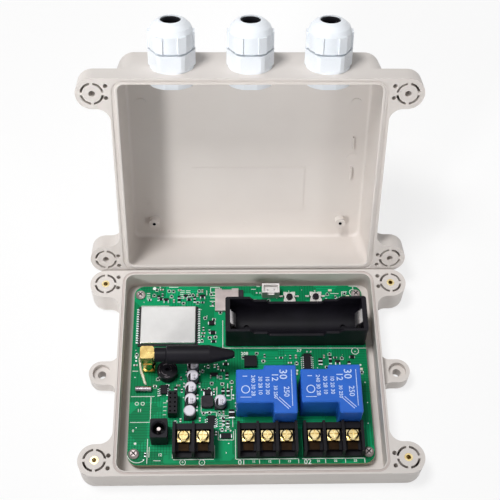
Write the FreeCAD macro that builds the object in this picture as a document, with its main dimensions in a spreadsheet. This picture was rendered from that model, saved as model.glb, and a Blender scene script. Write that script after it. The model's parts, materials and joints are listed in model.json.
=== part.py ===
import FreeCAD, Part
import math
import operator
import os
from types import SimpleNamespace

import Sketcher

# Driving sizes, in millimetres and degrees
DIMENSIONS = {
    # Enclosure, shared by the tray and the cover
    "body_width": 146.5,
    "body_depth": 122.5,
    "wall": 2.75,
    "inner_corner_radius": 5.0,
    "edge_radius": 3.0,
    "ear_radius": 8.75,
    "ear_web_radius": 7.0,
    "ear_boss_radius": 5.0,
    "ear_slot_width": 1.25,
    "ear_spoke_width": 1.5,
    "ear_pocket_radius": 1.2,
    "ear_pocket_reach": 7.2,
    "ear_pocket_offset": 4.4,
    # Base tray
    "base_height": 17.0,
    "tray_edge": 1.6,
    "floor_thickness": 3.0,
    "core_depth": 11.0,
    "lug_radius": 7.0,
    "lug_height": 10.0,
    "lug_web_radius": 5.0,
    "lug_hole_radius": 2.3,
    "lug_counterbore_radius": 4.9,
    "lug_counterbore_depth": 3.0,
    "groove_width": 1.2,
    "groove_depth": 1.4,
    "groove_inset": 1.0,
    "seal_clearance": 0.1,
    "seal_recess": 0.2,
    "standoff_radius": 3.4,
    "standoff_height": 3.4,
    "standoff_bore_depth": 4.5,
    "insert_radius": 2.2,
    "insert_bore_radius": 1.25,
    "insert_length": 8.0,
    "insert_clearance": 0.02,
    "pocket_share": 0.55,
    # Cover
    "cover_depth": 35.0,
    "cover_floor_thickness": 3.0,
    "cover_tilt": 66.5,
    "cover_corner_radius": 9.0,
    "cover_draft": 2.5,
    "cover_floor_radius": 1.9,
    "cover_groove_width": 0.9,
    "cover_groove_depth": 0.5,
    "cover_ear_height": 12.0,
    "cover_ear_floor": 2.5,
    "cover_screw_hole_radius": 1.75,
    "cover_boss_radius": 3.0,
    "cover_boss_height": 4.5,
    "cover_boss_hole_radius": 1.1,
    "cover_boss_spacing": 111.0,
    "cover_boss_y": 46.5,
    "cover_pad_radius": 3.2,
    "cover_pad_height": 0.5,
    "cover_pad_x": 60.0,
    "cover_pad_far_y": -31.0,
    "cover_pad_near_y": 4.0,
    "cover_rib_height": 1.6,
    "cover_rib_thickness": 0.9,
    "cover_rib_length": 8.0,
    "cover_rib_gap": 12.0,
    "cover_field_width": 66.0,
    "cover_field_depth": 29.0,
    "cover_field_y": 24.5,
    "cover_field_height": 0.35,
    "rim_gap": 0.2,
    "hinge_setback": -0.55,
    "hinge_drop": 1.6,
    # Cable glands
    "gland_spacing": 41.0,
    "gland_inset": 16.0,
    "gland_thread_radius": 9.9,
    "gland_hex_width": 22.6,
    "gland_hex_height": 8.5,
    "hex_corner_share": 0.55,
    "gland_stub_length": 10.5,
    "gland_neck_radius": 9.2,
    "gland_neck_length": 9.5,
    "gland_bore_radius": 7.4,
    "gland_washer_thickness": 1.2,
    "gland_washer_radius": 11.7,
    "gland_hole_clearance": 0.15,
    "gland_nut_gap": 1.2,
    "gland_nut_radius": 11.4,
    "gland_nut_collar": 8.8,
    "gland_dome_height": 5.8,
    "gland_dome_low_share": 0.45,
    "gland_dome_low_inset": 1.0,
    "gland_dome_high_inset": 3.4,
    "gland_dome_edge": 0.9,
    "gland_dome_top_inset": 5.2,
    "gland_mouth_radius": 5.4,
    "gland_wall": 2.2,
    "gland_tab_width": 4.6,
    "gland_tab_height": 0.8,
    "gland_tab_count": 6,
    "gland_running_fit": 0.08,
    "lock_nut_width": 27.0,
    "lock_nut_height": 5.0,
    "lock_nut_corner_share": 0.515,
    "cable_seal_wall": 3.2,
    "cable_seal_length": 10.0,
    "cable_seal_rise": 1.2,
    # Circuit board
    "board_side_gap": 4.5,
    "board_end_gap": 4.5,
    "board_thickness": 1.6,
    "board_corner_radius": 6.0,
    "board_offset": 1.6,
    "board_screw_side_inset": 3.5,
    "board_screw_end_inset": 6.0,
    "board_screw_radius": 1.4,
    "board_screw_head_radius": 2.8,
    "board_screw_head_height": 2.1,
    "board_screw_crown_share": 0.6,
    "board_screw_length": 5.6,
    "screw_clearance": 0.1,
    # Radio module
    "module_x": -46.0,
    "module_y": 29.2,
    "module_width": 34.0,
    "module_depth": 25.0,
    "module_thickness": 1.0,
    "module_notch_radius": 0.45,
    "module_notch_pitch": 1.5,
    "module_notch_count": 15,
    "can_width": 31.4,
    "can_depth": 23.4,
    "can_height": 2.3,
    "can_edge_radius": 0.7,
    # Card socket
    "card_socket_offset": 0.9,
    "card_socket_y": 45.8,
    "card_socket_width": 13.5,
    "card_socket_depth": 14.5,
    "card_socket_height": 1.9,
    "card_slot_width": 11.6,
    "card_slot_height": 1.0,
    "card_slot_depth": 6.0,
    "card_thumb_radius": 2.9,
    # Cell holder
    "holder_x": 26.0,
    "holder_y": 27.6,
    "holder_length": 79.0,
    "holder_width": 21.7,
    "holder_height": 18.5,
    "holder_wall": 1.4,
    "holder_floor": 1.6,
    "holder_end_wall": 2.6,
    "holder_step_length": 47.0,
    "holder_step_height": 15.2,
    "holder_middle_length": 30.0,
    "holder_middle_height": 12.6,
    "holder_step_slope": 3.5,
    "holder_hole_radius": 1.6,
    "holder_hole_spacing": 55.0,
    "contact_width": 8.0,
    "contact_height": 13.0,
    "contact_thickness": 0.5,
    "contact_bow": 3.2,
    "contact_lift": 1.4,
    # Relays
    "relay_length": 32.2,
    "relay_width": 27.6,
    "relay_height": 20.0,
    "relay_front_step": 6.0,
    "relay_leg_width": 12.4,
    "relay_rear_step": 2.4,
    "relay_rear_length": 17.3,
    "relay_corner_radius": 1.0,
    "relay_top_edge": 0.6,
    "relay_front": -31.7,
    "relay_1_left": -8.0,
    "relay_2_left": 26.6,
    # Screw terminals
    "terminal_pitch": 10.16,
    "terminal_depth": 16.6,
    "terminal_height": 11.0,
    "terminal_front": -49.0,
    "terminal_floor": 4.6,
    "terminal_lip_height": 2.6,
    "terminal_lip_depth": 2.4,
    "terminal_back": 3.4,
    "terminal_back_height": 8.4,
    "terminal_barrier": 1.5,
    "terminal_screw_setback": 9.6,
    "terminal_screw_radius": 1.6,
    "terminal_head_radius": 3.1,
    "terminal_head_height": 2.1,
    "terminal_head_lift": 0.08,
    "terminal_rim_height": 1.25,
    "terminal_crown_radius": 2.3,
    "terminal_screw_length": 6.2,
    "terminal_slot_width": 0.8,
    "terminal_slot_depth": 0.9,
    "terminal_bar_thickness": 0.9,
    "terminal_bar_width": 5.4,
    "terminal_bar_depth": 10.5,
    "terminal_plate_width": 6.4,
    "terminal_plate_depth": 6.0,
    "terminal_plate_thickness": 0.9,
    "terminal_plate_lift": 0.8,
    "terminal_running_fit": 0.06,
    "power_terminal_x": -30.8,
    "output_terminal_1_x": 8.4,
    "output_terminal_2_x": 43.5,
    # Power jack
    "jack_x": -49.0,
    "jack_y": -36.0,
    "jack_width": 9.2,
    "jack_depth": 10.6,
    "jack_height": 11.5,
    "jack_bore_radius": 3.3,
    "jack_bore_depth": 9.5,
    "jack_edge": 0.8,
    "jack_pin_radius": 1.0,
    "jack_pin_length": 7.8,
    # Antenna and its socket
    "antenna_x": -56.0,
    "antenna_y": 4.0,
    "socket_base_width": 6.4,
    "socket_base_height": 2.0,
    "socket_radius": 3.1,
    "socket_height": 12.2,
    "antenna_nut_width": 8.0,
    "antenna_nut_height": 5.4,
    "antenna_nut_clearance": 0.08,
    "antenna_axis_height": 16.4,
    "elbow_width": 7.4,
    "elbow_corner": 1.4,
    "elbow_arm_radius": 3.3,
    "elbow_height": 7.4,
    "whip_start": 4.0,
    "whip_neck_radius": 4.0,
    "whip_neck_length": 6.7,
    "whip_radius": 5.1,
    "whip_straight_length": 23.0,
    "whip_length": 43.4,
    "whip_tip_radius": 2.2,
    "whip_shoulder": 0.6,
    "whip_tip_edge": 1.0,
    # Push buttons
    "switch_1_x": 23.6,
    "switch_2_x": 38.8,
    "switch_y": 46.2,
    "switch_width": 6.2,
    "switch_height": 3.4,
    "switch_corner": 0.9,
    "switch_leg_width": 0.7,
    "switch_leg_reach": 2.0,
    "switch_leg_thickness": 0.3,
    "switch_leg_spacing": 4.5,
    "button_radius": 1.75,
    "button_stroke": 0.3,
    "button_rise": 1.5,
    "button_flange": 0.35,
    "button_fit": 0.1,
    # Battery lead header
    "lead_header_x": 12.8,
    "lead_header_y": 50.6,
    "lead_header_width": 10.0,
    "lead_header_depth": 6.0,
    "lead_header_height": 6.6,
    "lead_header_wall": 0.9,
    "lead_header_notch": 4.0,
    "lead_pin_width": 0.7,
    "lead_pin_spacing": 3.96,
    "lead_pin_height": 4.8,
    # Expansion header
    "header_x": -42.2,
    "header_y": -19.6,
    "header_pitch": 2.54,
    "header_rows": 5,
    "header_height": 7.0,
    "header_hole": 0.9,
    "header_hole_depth": 5.0,
    # Round and block components
    "capacitor_radius": 3.15,
    "capacitor_height": 7.0,
    "capacitor_base_height": 1.2,
    "capacitor_base_width": 6.6,
    "capacitor_corner": 1.3,
    "capacitor_edge": 0.5,
    "sounder_x": -45.6,
    "sounder_y": 0.2,
    "sounder_radius": 5.6,
    "sounder_height": 5.5,
    "sounder_hole_radius": 1.1,
    "sounder_vent_depth": 1.8,
    "inductor_x": -23.6,
    "inductor_y": -17.6,
    "inductor_width": 6.6,
    "inductor_height": 3.2,
    "inductor_radius": 1.6,
    "crystal_x": -58.6,
    "crystal_y": -9.6,
    "crystal_radius": 1.6,
    "crystal_length": 8.6,
    # Chips and small components
    "chip_height": 1.6,
    "chip_pitch": 1.27,
    "chip_width": 3.9,
    "chip_leg_width": 0.45,
    "chip_leg_reach": 1.0,
    "chip_leg_height": 0.7,
    "led_width": 2.0,
    "led_depth": 1.3,
    "led_height": 0.9,
}

# Corners of a rectangle, seen from above
CORNERS = [(-1, -1), (1, -1), (1, 1), (-1, 1)]

# Width and depth of the board on which the places below were measured
BOARD_PLAN = (132.0, 108.0)

# Centres of the tall capacitors on the board
CAPACITOR_PLACES = [
    (-31.6, 3.2),
    (-31.6, -3.6),
    (-32.6, -10.6),
    (-32.6, -17.5),
    (-33.0, -24.4),
    (-16.4, -18.4),
]

# Chips: centre, legs on each side, turned a quarter
CHIP_PLACES = [(32.2, 6.2, 8), (-47.4, -9.8, 4), (-21.4, -27.8, 4)]

# Small flat components: centre, width, depth, height
SMALL_PLACES = [
    (8.8, 43.2, 3.4, 2.6, 1.2),
    (0.4, 6.6, 7.0, 6.6, 2.4),
    (-23.4, -11.8, 4.6, 2.8, 2.0),
    (-10.4, -24.0, 3.0, 3.6, 2.4),
    (-41.0, -9.6, 1.6, 3.2, 0.8),
    (-15.0, -10.8, 1.6, 3.2, 0.8),
    (-12.2, -10.8, 1.6, 3.2, 0.8),
    (-20.0, -0.8, 4.2, 2.0, 0.9),
    (-12.8, -1.0, 1.6, 2.6, 0.8),
    (-14.8, -28.0, 1.4, 2.6, 0.7),
    (-12.6, -29.4, 1.4, 2.6, 0.7),
    (39.6, 7.2, 2.2, 2.6, 1.0),
    (45.2, 8.0, 1.6, 3.4, 0.9),
    (49.2, 6.6, 2.8, 1.6, 0.8),
    (55.6, 4.8, 1.6, 3.6, 1.0),
    (-57.2, 46.4, 2.0, 1.2, 0.6),
    (-52.0, 48.2, 1.3, 2.2, 0.7),
    (-47.6, 46.6, 3.0, 1.5, 0.9),
    (-40.2, 47.4, 1.6, 3.0, 0.9),
    (-36.4, 49.2, 2.6, 1.4, 0.7),
    (-31.2, 47.2, 1.4, 2.6, 0.7),
    (-26.6, 48.8, 2.9, 1.6, 1.0),
]

# Indicator lamps: centre
LED_PLACES = [(25.6, -0.8), (62.0, 1.8), (47.6, 52.0), (57.6, 48.0)]

document = FreeCAD.newDocument("gsm_relay_switch")
OPERATIONS = {"+": operator.add, "-": operator.sub, "*": operator.mul, "/": operator.truediv}

# A hexagon's corner radius over its width across the flats
CORNER_OVER_FLATS = 1 / math.sqrt(3)


class Size:
    # A length that carries its number and the sheet formula that gives it

    def __init__(self, value, formula):
        self.value = value
        self.formula = formula

    def __add__(self, other):
        return combine(self, "+", other)

    def __radd__(self, other):
        return combine(other, "+", self)

    def __sub__(self, other):
        return combine(self, "-", other)

    def __rsub__(self, other):
        return combine(other, "-", self)

    def __mul__(self, other):
        return combine(self, "*", other)

    def __rmul__(self, other):
        return combine(other, "*", self)

    def __truediv__(self, other):
        return combine(self, "/", other)

    def __neg__(self):
        return combine(0, "-", self)


def number(length):
    return length.value if isinstance(length, Size) else float(length)


def formula(length):
    return length.formula if isinstance(length, Size) else f"({float(length):.6f})"


def combine(left, sign, right):
    value = OPERATIONS[sign](number(left), number(right))
    return Size(value, f"({formula(left)} {sign} {formula(right)})")


def make_sheet():
    sheet = document.addObject("Spreadsheet::Sheet", "sizes")
    for row, (name, value) in enumerate(DIMENSIONS.items(), start=1):
        sheet.set(f"A{row}", name)
        sheet.set(f"B{row}", str(value))
        sheet.setAlias(f"B{row}", name)
    document.recompute()
    read = {name: Size(float(sheet.get(name)), f"sizes.{name}") for name in DIMENSIONS}
    return SimpleNamespace(**read)


size = make_sheet()
pieces = []

# What stands on the board keeps its share of the room when the enclosure's plan changes
ACROSS = [
    "module_x", "module_width", "can_width",
    "card_socket_offset", "card_socket_width", "card_slot_width", "card_thumb_radius",
    "holder_x", "holder_length", "holder_step_length", "holder_middle_length",
    "holder_step_slope", "holder_hole_spacing", "relay_length", "relay_leg_width",
    "relay_rear_length", "relay_1_left", "relay_2_left", "terminal_pitch",
    "terminal_bar_width", "terminal_plate_width", "power_terminal_x",
    "output_terminal_1_x", "output_terminal_2_x", "jack_x", "jack_width",
    "jack_bore_radius", "antenna_x", "whip_length", "whip_straight_length",
    "switch_1_x", "switch_2_x", "switch_width", "switch_leg_reach", "lead_header_x",
    "lead_header_width", "lead_header_notch", "lead_pin_spacing", "header_x",
    "capacitor_radius", "capacitor_base_width", "sounder_x", "inductor_x",
    "inductor_width", "crystal_x", "crystal_length", "chip_width",
]
ALONG = [
    "board_offset", "module_y", "module_depth",
    "can_depth", "module_notch_pitch", "card_socket_y", "card_socket_depth",
    "card_slot_depth", "holder_y", "holder_width", "relay_front", "relay_width",
    "relay_front_step", "relay_rear_step", "terminal_front", "terminal_depth",
    "terminal_screw_setback", "terminal_back", "terminal_lip_depth",
    "terminal_bar_depth", "terminal_plate_depth", "jack_y", "jack_depth", "antenna_y",
    "switch_y", "switch_width", "switch_leg_spacing", "lead_header_y",
    "lead_header_depth", "header_y", "header_pitch", "capacitor_radius",
    "capacitor_base_width", "sounder_y", "inductor_y", "inductor_width", "crystal_y",
    "chip_pitch",
]


def follow(names, share):
    for name in names:
        setattr(size, name, getattr(size, name) * share)


inner_width = size.body_width - 2 * size.wall
inner_depth = size.body_depth - 2 * size.wall
board_width = inner_width - 2 * size.board_side_gap
board_depth = inner_depth - 2 * size.board_end_gap
share_across = board_width / BOARD_PLAN[0]
share_along = board_depth / BOARD_PLAN[1]
follow(ACROSS, share_across)
follow(ALONG, share_along)


def keep(item, label):
    item.Label = label
    pieces.append(item)
    return item


def bind(item, name, length):
    item.setExpression(name, formula(length))


# Solids bound to the sheet

def stand(item, x, y, z, axis="z"):
    turns = {
        "x": FreeCAD.Rotation(FreeCAD.Vector(0, 1, 0), 90),
        "y": FreeCAD.Rotation(FreeCAD.Vector(1, 0, 0), -90),
        "z": FreeCAD.Rotation(),
    }
    item.Placement = FreeCAD.Placement(FreeCAD.Vector(number(x), number(y), number(z)), turns[axis])
    bind(item, "Placement.Base.x", x)
    bind(item, "Placement.Base.y", y)
    bind(item, "Placement.Base.z", z)
    return item


def box(x, y, z, length, width, height):
    item = document.addObject("Part::Box", "Block")
    bind(item, "Length", length)
    bind(item, "Width", width)
    bind(item, "Height", height)
    return stand(item, x - length / 2, y - width / 2, z)


def cylinder(x, y, z, radius, height, axis="z"):
    item = document.addObject("Part::Cylinder", "Round")
    bind(item, "Radius", radius)
    bind(item, "Height", height)
    return stand(item, x, y, z, axis)


def cone(x, y, z, low_radius, high_radius, height, axis="z"):
    item = document.addObject("Part::Cone", "Taper")
    bind(item, "Radius1", low_radius)
    bind(item, "Radius2", high_radius)
    bind(item, "Height", height)
    return stand(item, x, y, z, axis)


def hexagon(x, y, z, width, height, axis="z"):
    item = document.addObject("Part::Prism", "Hexagon")
    item.Polygon = 6
    bind(item, "Circumradius", width * CORNER_OVER_FLATS)
    bind(item, "Height", height)
    return stand(item, x, y, z, axis)


def fuse(*items):
    item = document.addObject("Part::MultiFuse", "Joined")
    item.Shapes = list(items)
    item.Refine = True
    return item


def common(base, tool):
    item = document.addObject("Part::MultiCommon", "Shared")
    item.Shapes = [base, tool]
    return item


def cut(base, *tools):
    item = document.addObject("Part::Cut", "Cut")
    item.Base = base
    item.Tool = tools[0] if len(tools) == 1 else fuse(*tools)
    item.Refine = True
    return item


def group(*items):
    item = document.addObject("Part::Compound", "Group")
    item.Links = list(items)
    return item


def rounded(base, radius, chosen):
    document.recompute()
    item = document.addObject("Part::Fillet", "Rounded")
    item.Base = base
    edges = [index for index, edge in enumerate(base.Shape.Edges, start=1) if chosen(edge)]
    item.Edges = [(index, number(radius), number(radius)) for index in edges]
    return item


# Tests that pick edges to round

def upright(edge):
    start, end = edge.Vertexes[0].Point, edge.Vertexes[-1].Point
    rise = abs(start.z - end.z)
    return rise > 0.3 and math.hypot(start.x - end.x, start.y - end.y) < rise / 5


def level_at(height):
    def test(edge):
        return all(abs(vertex.Point.z - number(height)) < 1e-4 for vertex in edge.Vertexes)
    return test


def rounded_box(x, y, z, length, width, height, radius):
    return rounded(box(x, y, z, length, width, height), radius, upright)


# Sketches and features of a body

def new_body():
    return document.addObject("PartDesign::Body", "Body")


def sketch_on(body, role, offset=0):
    plane = next(item for item in body.Origin.OriginFeatures if item.Role == role)
    sketch = body.newObject("Sketcher::SketchObject", "Sketch")
    sketch.AttachmentSupport = [(plane, "")]
    sketch.MapMode = "FlatFace"
    bind(sketch, "AttachmentOffset.Base.z", offset)
    return sketch


def hold(sketch, geometry, vertex, point):
    for kind, length in (("DistanceX", point[0]), ("DistanceY", point[1])):
        rule = Sketcher.Constraint(kind, -1, 1, geometry, vertex, number(length))
        index = sketch.addConstraint(rule)
        sketch.setExpression(f"Constraints[{index}]", formula(length))


def draw_outline(sketch, points):
    first = sketch.GeometryCount
    count = len(points)
    spots = [FreeCAD.Vector(number(x), number(y), 0) for x, y in points]
    for index in range(count):
        sketch.addGeometry(Part.LineSegment(spots[index], spots[(index + 1) % count]))
    for index in range(count):
        following = first + (index + 1) % count
        sketch.addConstraint(Sketcher.Constraint("Coincident", first + index, 2, following, 1))
    for index in range(count):
        hold(sketch, first + index, 1, points[index])
    return sketch


def draw_rectangle(sketch, x, y, width, height):
    corners = [(x + i * width / 2, y + j * height / 2) for i, j in CORNERS]
    return draw_outline(sketch, corners)


def draw_circle(sketch, x, y, radius):
    circle = Part.Circle(FreeCAD.Vector(number(x), number(y), 0), FreeCAD.Vector(0, 0, 1), number(radius))
    index = sketch.addGeometry(circle)
    hold(sketch, index, 3, (x, y))
    rule = sketch.addConstraint(Sketcher.Constraint("Radius", index, number(radius)))
    sketch.setExpression(f"Constraints[{rule}]", formula(radius))
    return sketch


def pad(body, sketch, length, middle=False):
    item = body.newObject("PartDesign::Pad", "Pad")
    item.Profile = sketch
    bind(item, "Length", length)
    item.Midplane = middle
    return item


def pocket(body, sketch, length, upward=False):
    item = body.newObject("PartDesign::Pocket", "Pocket")
    item.Profile = sketch
    bind(item, "Length", length)
    item.Reversed = upward
    return item


def pocket_across(body, sketch, length):
    item = pocket(body, sketch, length)
    item.Midplane = True
    return item


def chamfer(body, width, chosen):
    document.recompute()
    base = body.Tip
    names = [f"Edge{index}" for index, edge in enumerate(base.Shape.Edges, start=1) if chosen(edge)]
    item = body.newObject("PartDesign::Chamfer", "Chamfer")
    item.Base = (base, names)
    bind(item, "Size", width)
    return item


def revolve(body, sketch):
    item = body.newObject("PartDesign::Revolution", "Revolution")
    item.Profile = sketch
    item.ReferenceAxis = (sketch, ["V_Axis"])
    item.Angle = 360
    return item


def fillet(body, radius, chosen):
    document.recompute()
    base = body.Tip
    names = [f"Edge{index}" for index, edge in enumerate(base.Shape.Edges, start=1) if chosen(edge)]
    item = body.newObject("PartDesign::Fillet", "Fillet")
    item.Base = (base, names)
    bind(item, "Radius", radius)
    return item


def polar(body, feature, sketch, count):
    item = body.newObject("PartDesign::PolarPattern", "Pattern")
    item.Originals = [feature]
    item.Axis = (sketch, ["N_Axis"])
    item.Angle = 360
    item.Occurrences = int(number(count))
    body.Tip = item
    return item


def row(body, feature, sketch, axis, length, count):
    item = body.newObject("PartDesign::LinearPattern", "Pattern")
    item.Originals = [feature]
    item.Direction = (sketch, [axis])
    bind(item, "Length", length)
    item.Occurrences = int(number(count))
    body.Tip = item
    return item


# Places worked out from the driving sizes
ear_x = size.body_width / 2 + size.ear_radius
ear_y = size.body_depth / 2 - size.ear_radius
side = size.body_width / 2
rear = size.body_depth / 2
rim = size.base_height + size.rim_gap
board_bottom = size.floor_thickness + size.standoff_height
board_top = board_bottom + size.board_thickness
gland_height = rim + size.gland_inset
ceiling = rim + size.cover_depth - size.cover_floor_thickness
screw_reach_x = board_width / 2 - size.board_screw_side_inset
screw_reach_y = board_depth / 2 - size.board_screw_end_inset
board_screw_places = [(i * screw_reach_x, size.board_offset + j * screw_reach_y) for i, j in CORNERS]


# The outline that tray and cover share: walls, corner ears and the webs that carry them

def pad_ears(body, z, height):
    webs = sketch_on(body, "XY_Plane", z)
    circles = sketch_on(body, "XY_Plane", z)
    reach = size.ear_radius + size.cover_corner_radius + size.cover_draft
    for i, j in CORNERS:
        draw_rectangle(webs, i * (ear_x - reach / 2), j * ear_y, reach, 2 * size.ear_radius)
        draw_circle(circles, i * ear_x, j * ear_y, size.ear_radius)
    pad(body, webs, height)
    pad(body, circles, height)


def meets_wall(distance):
    def test(edge):
        middle = edge.CenterOfMass
        beside = abs(abs(middle.x) - number(side)) < 0.6
        return upright(edge) and beside and abs(abs(middle.y) - number(distance)) < 0.2
    return test


def inside_corner(edge):
    middle = edge.CenterOfMass
    at_x = abs(abs(middle.x) - number(inner_width) / 2) < number(size.cover_draft)
    return upright(edge) and at_x and abs(abs(middle.y) - number(inner_depth) / 2) < 0.1


def ear_cores(z, depth):
    # A ring slot broken by four spokes and two pockets, as moulded ears are cored
    tools = []
    outer = size.ear_boss_radius + size.ear_slot_width
    for i, j in CORNERS:
        x = i * ear_x
        y = j * ear_y
        ring = cut(cylinder(x, y, z, outer, depth), cylinder(x, y, z, size.ear_boss_radius, depth))
        spoke_1 = box(x, y, z, 2 * outer, size.ear_spoke_width, depth)
        spoke_2 = box(x, y, z, size.ear_spoke_width, 2 * outer, depth)
        tools.append(cut(ring, spoke_1, spoke_2))
        for share in (1, -size.pocket_share):
            pocket_x = x - i * size.ear_pocket_reach
            pocket_y = y + j * share * size.ear_pocket_offset
            tools.append(cylinder(pocket_x, pocket_y, z, size.ear_pocket_radius, depth))
    return tools


def rim_ring(z, height, width):
    # A closed band along the middle of the rim, as wide as asked
    middle = size.groove_inset + size.groove_width / 2
    outer = middle - width / 2
    inner = middle + width / 2
    corner = size.inner_corner_radius + size.wall
    blocks = []
    for inset in (outer, inner):
        length = size.body_width - 2 * inset
        depth = size.body_depth - 2 * inset
        blocks.append(rounded_box(0, 0, z, length, depth, height, corner - inset))
    return cut(blocks[0], blocks[1])


# Base tray: floor, walls, four ears, two wall lugs and the board's standoffs

def make_base_tray():
    body = new_body()
    outline = draw_rectangle(sketch_on(body, "XY_Plane"), 0, 0, size.body_width, size.body_depth)
    pad(body, outline, size.base_height)
    pad_ears(body, 0, size.base_height)
    lug_webs = sketch_on(body, "XY_Plane")
    lug_circles = sketch_on(body, "XY_Plane")
    for i in (-1, 1):
        reach = size.ear_radius + size.wall
        draw_rectangle(lug_webs, i * (ear_x - reach / 2), 0, reach, 2 * size.lug_radius)
        draw_circle(lug_circles, i * ear_x, 0, size.lug_radius)
    pad(body, lug_webs, size.lug_height)
    pad(body, lug_circles, size.lug_height)
    fillet(body, size.ear_web_radius, meets_wall(ear_y - size.ear_radius))
    fillet(body, size.lug_web_radius, meets_wall(size.lug_radius))
    chamfer(body, size.tray_edge, level_at(0))

    cavity = draw_rectangle(sketch_on(body, "XY_Plane", size.base_height), 0, 0, inner_width, inner_depth)
    pocket(body, cavity, size.base_height - size.floor_thickness)
    fillet(body, size.inner_corner_radius, inside_corner)

    standoffs = sketch_on(body, "XY_Plane", size.floor_thickness)
    bores = sketch_on(body, "XY_Plane", board_bottom)
    for x, y in board_screw_places:
        draw_circle(standoffs, x, y, size.standoff_radius)
        draw_circle(bores, x, y, size.board_screw_radius)
    pad(body, standoffs, size.standoff_height)
    pocket(body, bores, size.standoff_bore_depth)

    tools = ear_cores(size.base_height - size.core_depth, size.core_depth)
    for i, j in CORNERS:
        bottom = size.base_height - size.insert_length
        radius = size.insert_radius + size.insert_clearance
        tools.append(cylinder(i * ear_x, j * ear_y, bottom, radius, size.insert_length))
    for i in (-1, 1):
        bottom = size.lug_height - size.lug_counterbore_depth
        tools.append(cylinder(i * ear_x, 0, 0, size.lug_hole_radius, size.lug_height))
        tools.append(cylinder(i * ear_x, 0, bottom, size.lug_counterbore_radius, size.lug_counterbore_depth))
    tools.append(rim_ring(size.base_height - size.groove_depth, size.groove_depth, size.groove_width))
    keep(cut(body, *tools), "base_tray")


def make_corner_inserts():
    inserts = []
    for i, j in CORNERS:
        bottom = size.base_height - size.insert_length
        outer = cylinder(i * ear_x, j * ear_y, bottom, size.insert_radius, size.insert_length)
        bore = cylinder(i * ear_x, j * ear_y, bottom, size.insert_bore_radius, size.insert_length)
        inserts.append(cut(outer, bore))
    keep(group(*inserts), "corner_inserts")


def make_rim_seal():
    height = size.groove_depth - size.seal_recess
    width = size.groove_width - 2 * size.seal_clearance
    keep(rim_ring(size.base_height - size.groove_depth, height, width), "rim_seal")


# Cover: modelled closed over the tray, then swung open with what it carries

def open_pose():
    axis_y = rear + size.hinge_setback
    axis_z = size.base_height + size.rim_gap / 2 - size.hinge_drop
    axis_point = FreeCAD.Vector(0, number(axis_y), number(axis_z))
    turn = FreeCAD.Rotation(FreeCAD.Vector(1, 0, 0), number(size.cover_tilt - 180))
    return FreeCAD.Placement(axis_point - turn.multVec(axis_point), turn)


def swing_open(item):
    item.Placement = open_pose()
    return item


def add_cover_ceiling(body):
    # Two hollow posts, low round pads, two short ribs and a slightly raised field
    boss_bottom = ceiling - size.cover_boss_height
    bosses = sketch_on(body, "XY_Plane", boss_bottom)
    holes = sketch_on(body, "XY_Plane", boss_bottom)
    pads = sketch_on(body, "XY_Plane", ceiling - size.cover_pad_height)
    for i in (-1, 1):
        boss_x = i * size.cover_boss_spacing / 2
        draw_circle(bosses, boss_x, size.cover_boss_y, size.cover_boss_radius)
        draw_circle(holes, boss_x, size.cover_boss_y, size.cover_boss_hole_radius)
        draw_circle(pads, i * size.cover_pad_x, size.cover_pad_far_y, size.cover_pad_radius)
    draw_circle(pads, size.cover_pad_x, size.cover_pad_near_y, size.cover_pad_radius)
    pad(body, bosses, size.cover_boss_height)
    pad(body, pads, size.cover_pad_height)
    pocket(body, holes, size.cover_boss_height, upward=True)
    ribs = sketch_on(body, "XY_Plane", ceiling - size.cover_rib_height)
    for j in (-1, 1):
        rib_y = size.cover_pad_near_y + j * (size.cover_rib_gap + size.cover_rib_length) / 2
        draw_rectangle(ribs, size.cover_pad_x, rib_y, size.cover_rib_thickness, size.cover_rib_length)
    pad(body, ribs, size.cover_rib_height)
    field = sketch_on(body, "XY_Plane", ceiling - size.cover_field_height)
    draw_rectangle(field, 0, size.cover_field_y, size.cover_field_width, size.cover_field_depth)
    pad(body, field, size.cover_field_height)


def draw_cover_section(sketch, half_width, height):
    # Both side walls lean in towards the top, so the shell leaves its mould
    narrow = half_width - size.cover_draft
    top = rim + height
    return draw_outline(sketch, [(-half_width, rim), (half_width, rim), (narrow, top), (-narrow, top)])


def make_cover_shell():
    body = new_body()
    outline = draw_cover_section(sketch_on(body, "XZ_Plane"), side, size.cover_depth)
    pad(body, outline, size.body_depth, middle=True)
    fillet(body, size.cover_corner_radius, upright)
    fillet(body, size.edge_radius, level_at(rim + size.cover_depth))
    pad_ears(body, rim, size.cover_ear_height)
    fillet(body, size.ear_web_radius, meets_wall(ear_y - size.ear_radius))

    cavity_height = size.cover_depth - size.cover_floor_thickness
    cavity = draw_cover_section(sketch_on(body, "XZ_Plane"), inner_width / 2, cavity_height)
    pocket_across(body, cavity, inner_depth)
    fillet(body, size.inner_corner_radius, inside_corner)
    fillet(body, size.cover_floor_radius, level_at(ceiling))

    add_cover_ceiling(body)
    tools = ear_cores(rim, size.cover_ear_height - size.cover_ear_floor)
    tools.append(rim_ring(rim, size.cover_groove_depth, size.cover_groove_width))
    hole = size.cover_screw_hole_radius
    for i, j in CORNERS:
        tools.append(cylinder(i * ear_x, j * ear_y, rim, hole, size.cover_ear_height))
    radius = size.gland_thread_radius + size.gland_hole_clearance
    for place in (-1, 0, 1):
        start = -rear - size.wall / 2
        tools.append(cylinder(place * size.gland_spacing, start, gland_height, radius, 2 * size.wall, "y"))
    keep(swing_open(cut(body, *tools)), "cover_shell")


# Cable glands: one threaded body, washer, lock nut, cable seal and cap nut in each hole

gland_face = -rear - size.gland_washer_thickness
gland_shoulder = gland_face - size.gland_hex_height


def gland_places():
    return [place * size.gland_spacing for place in (-1, 0, 1)]


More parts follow.
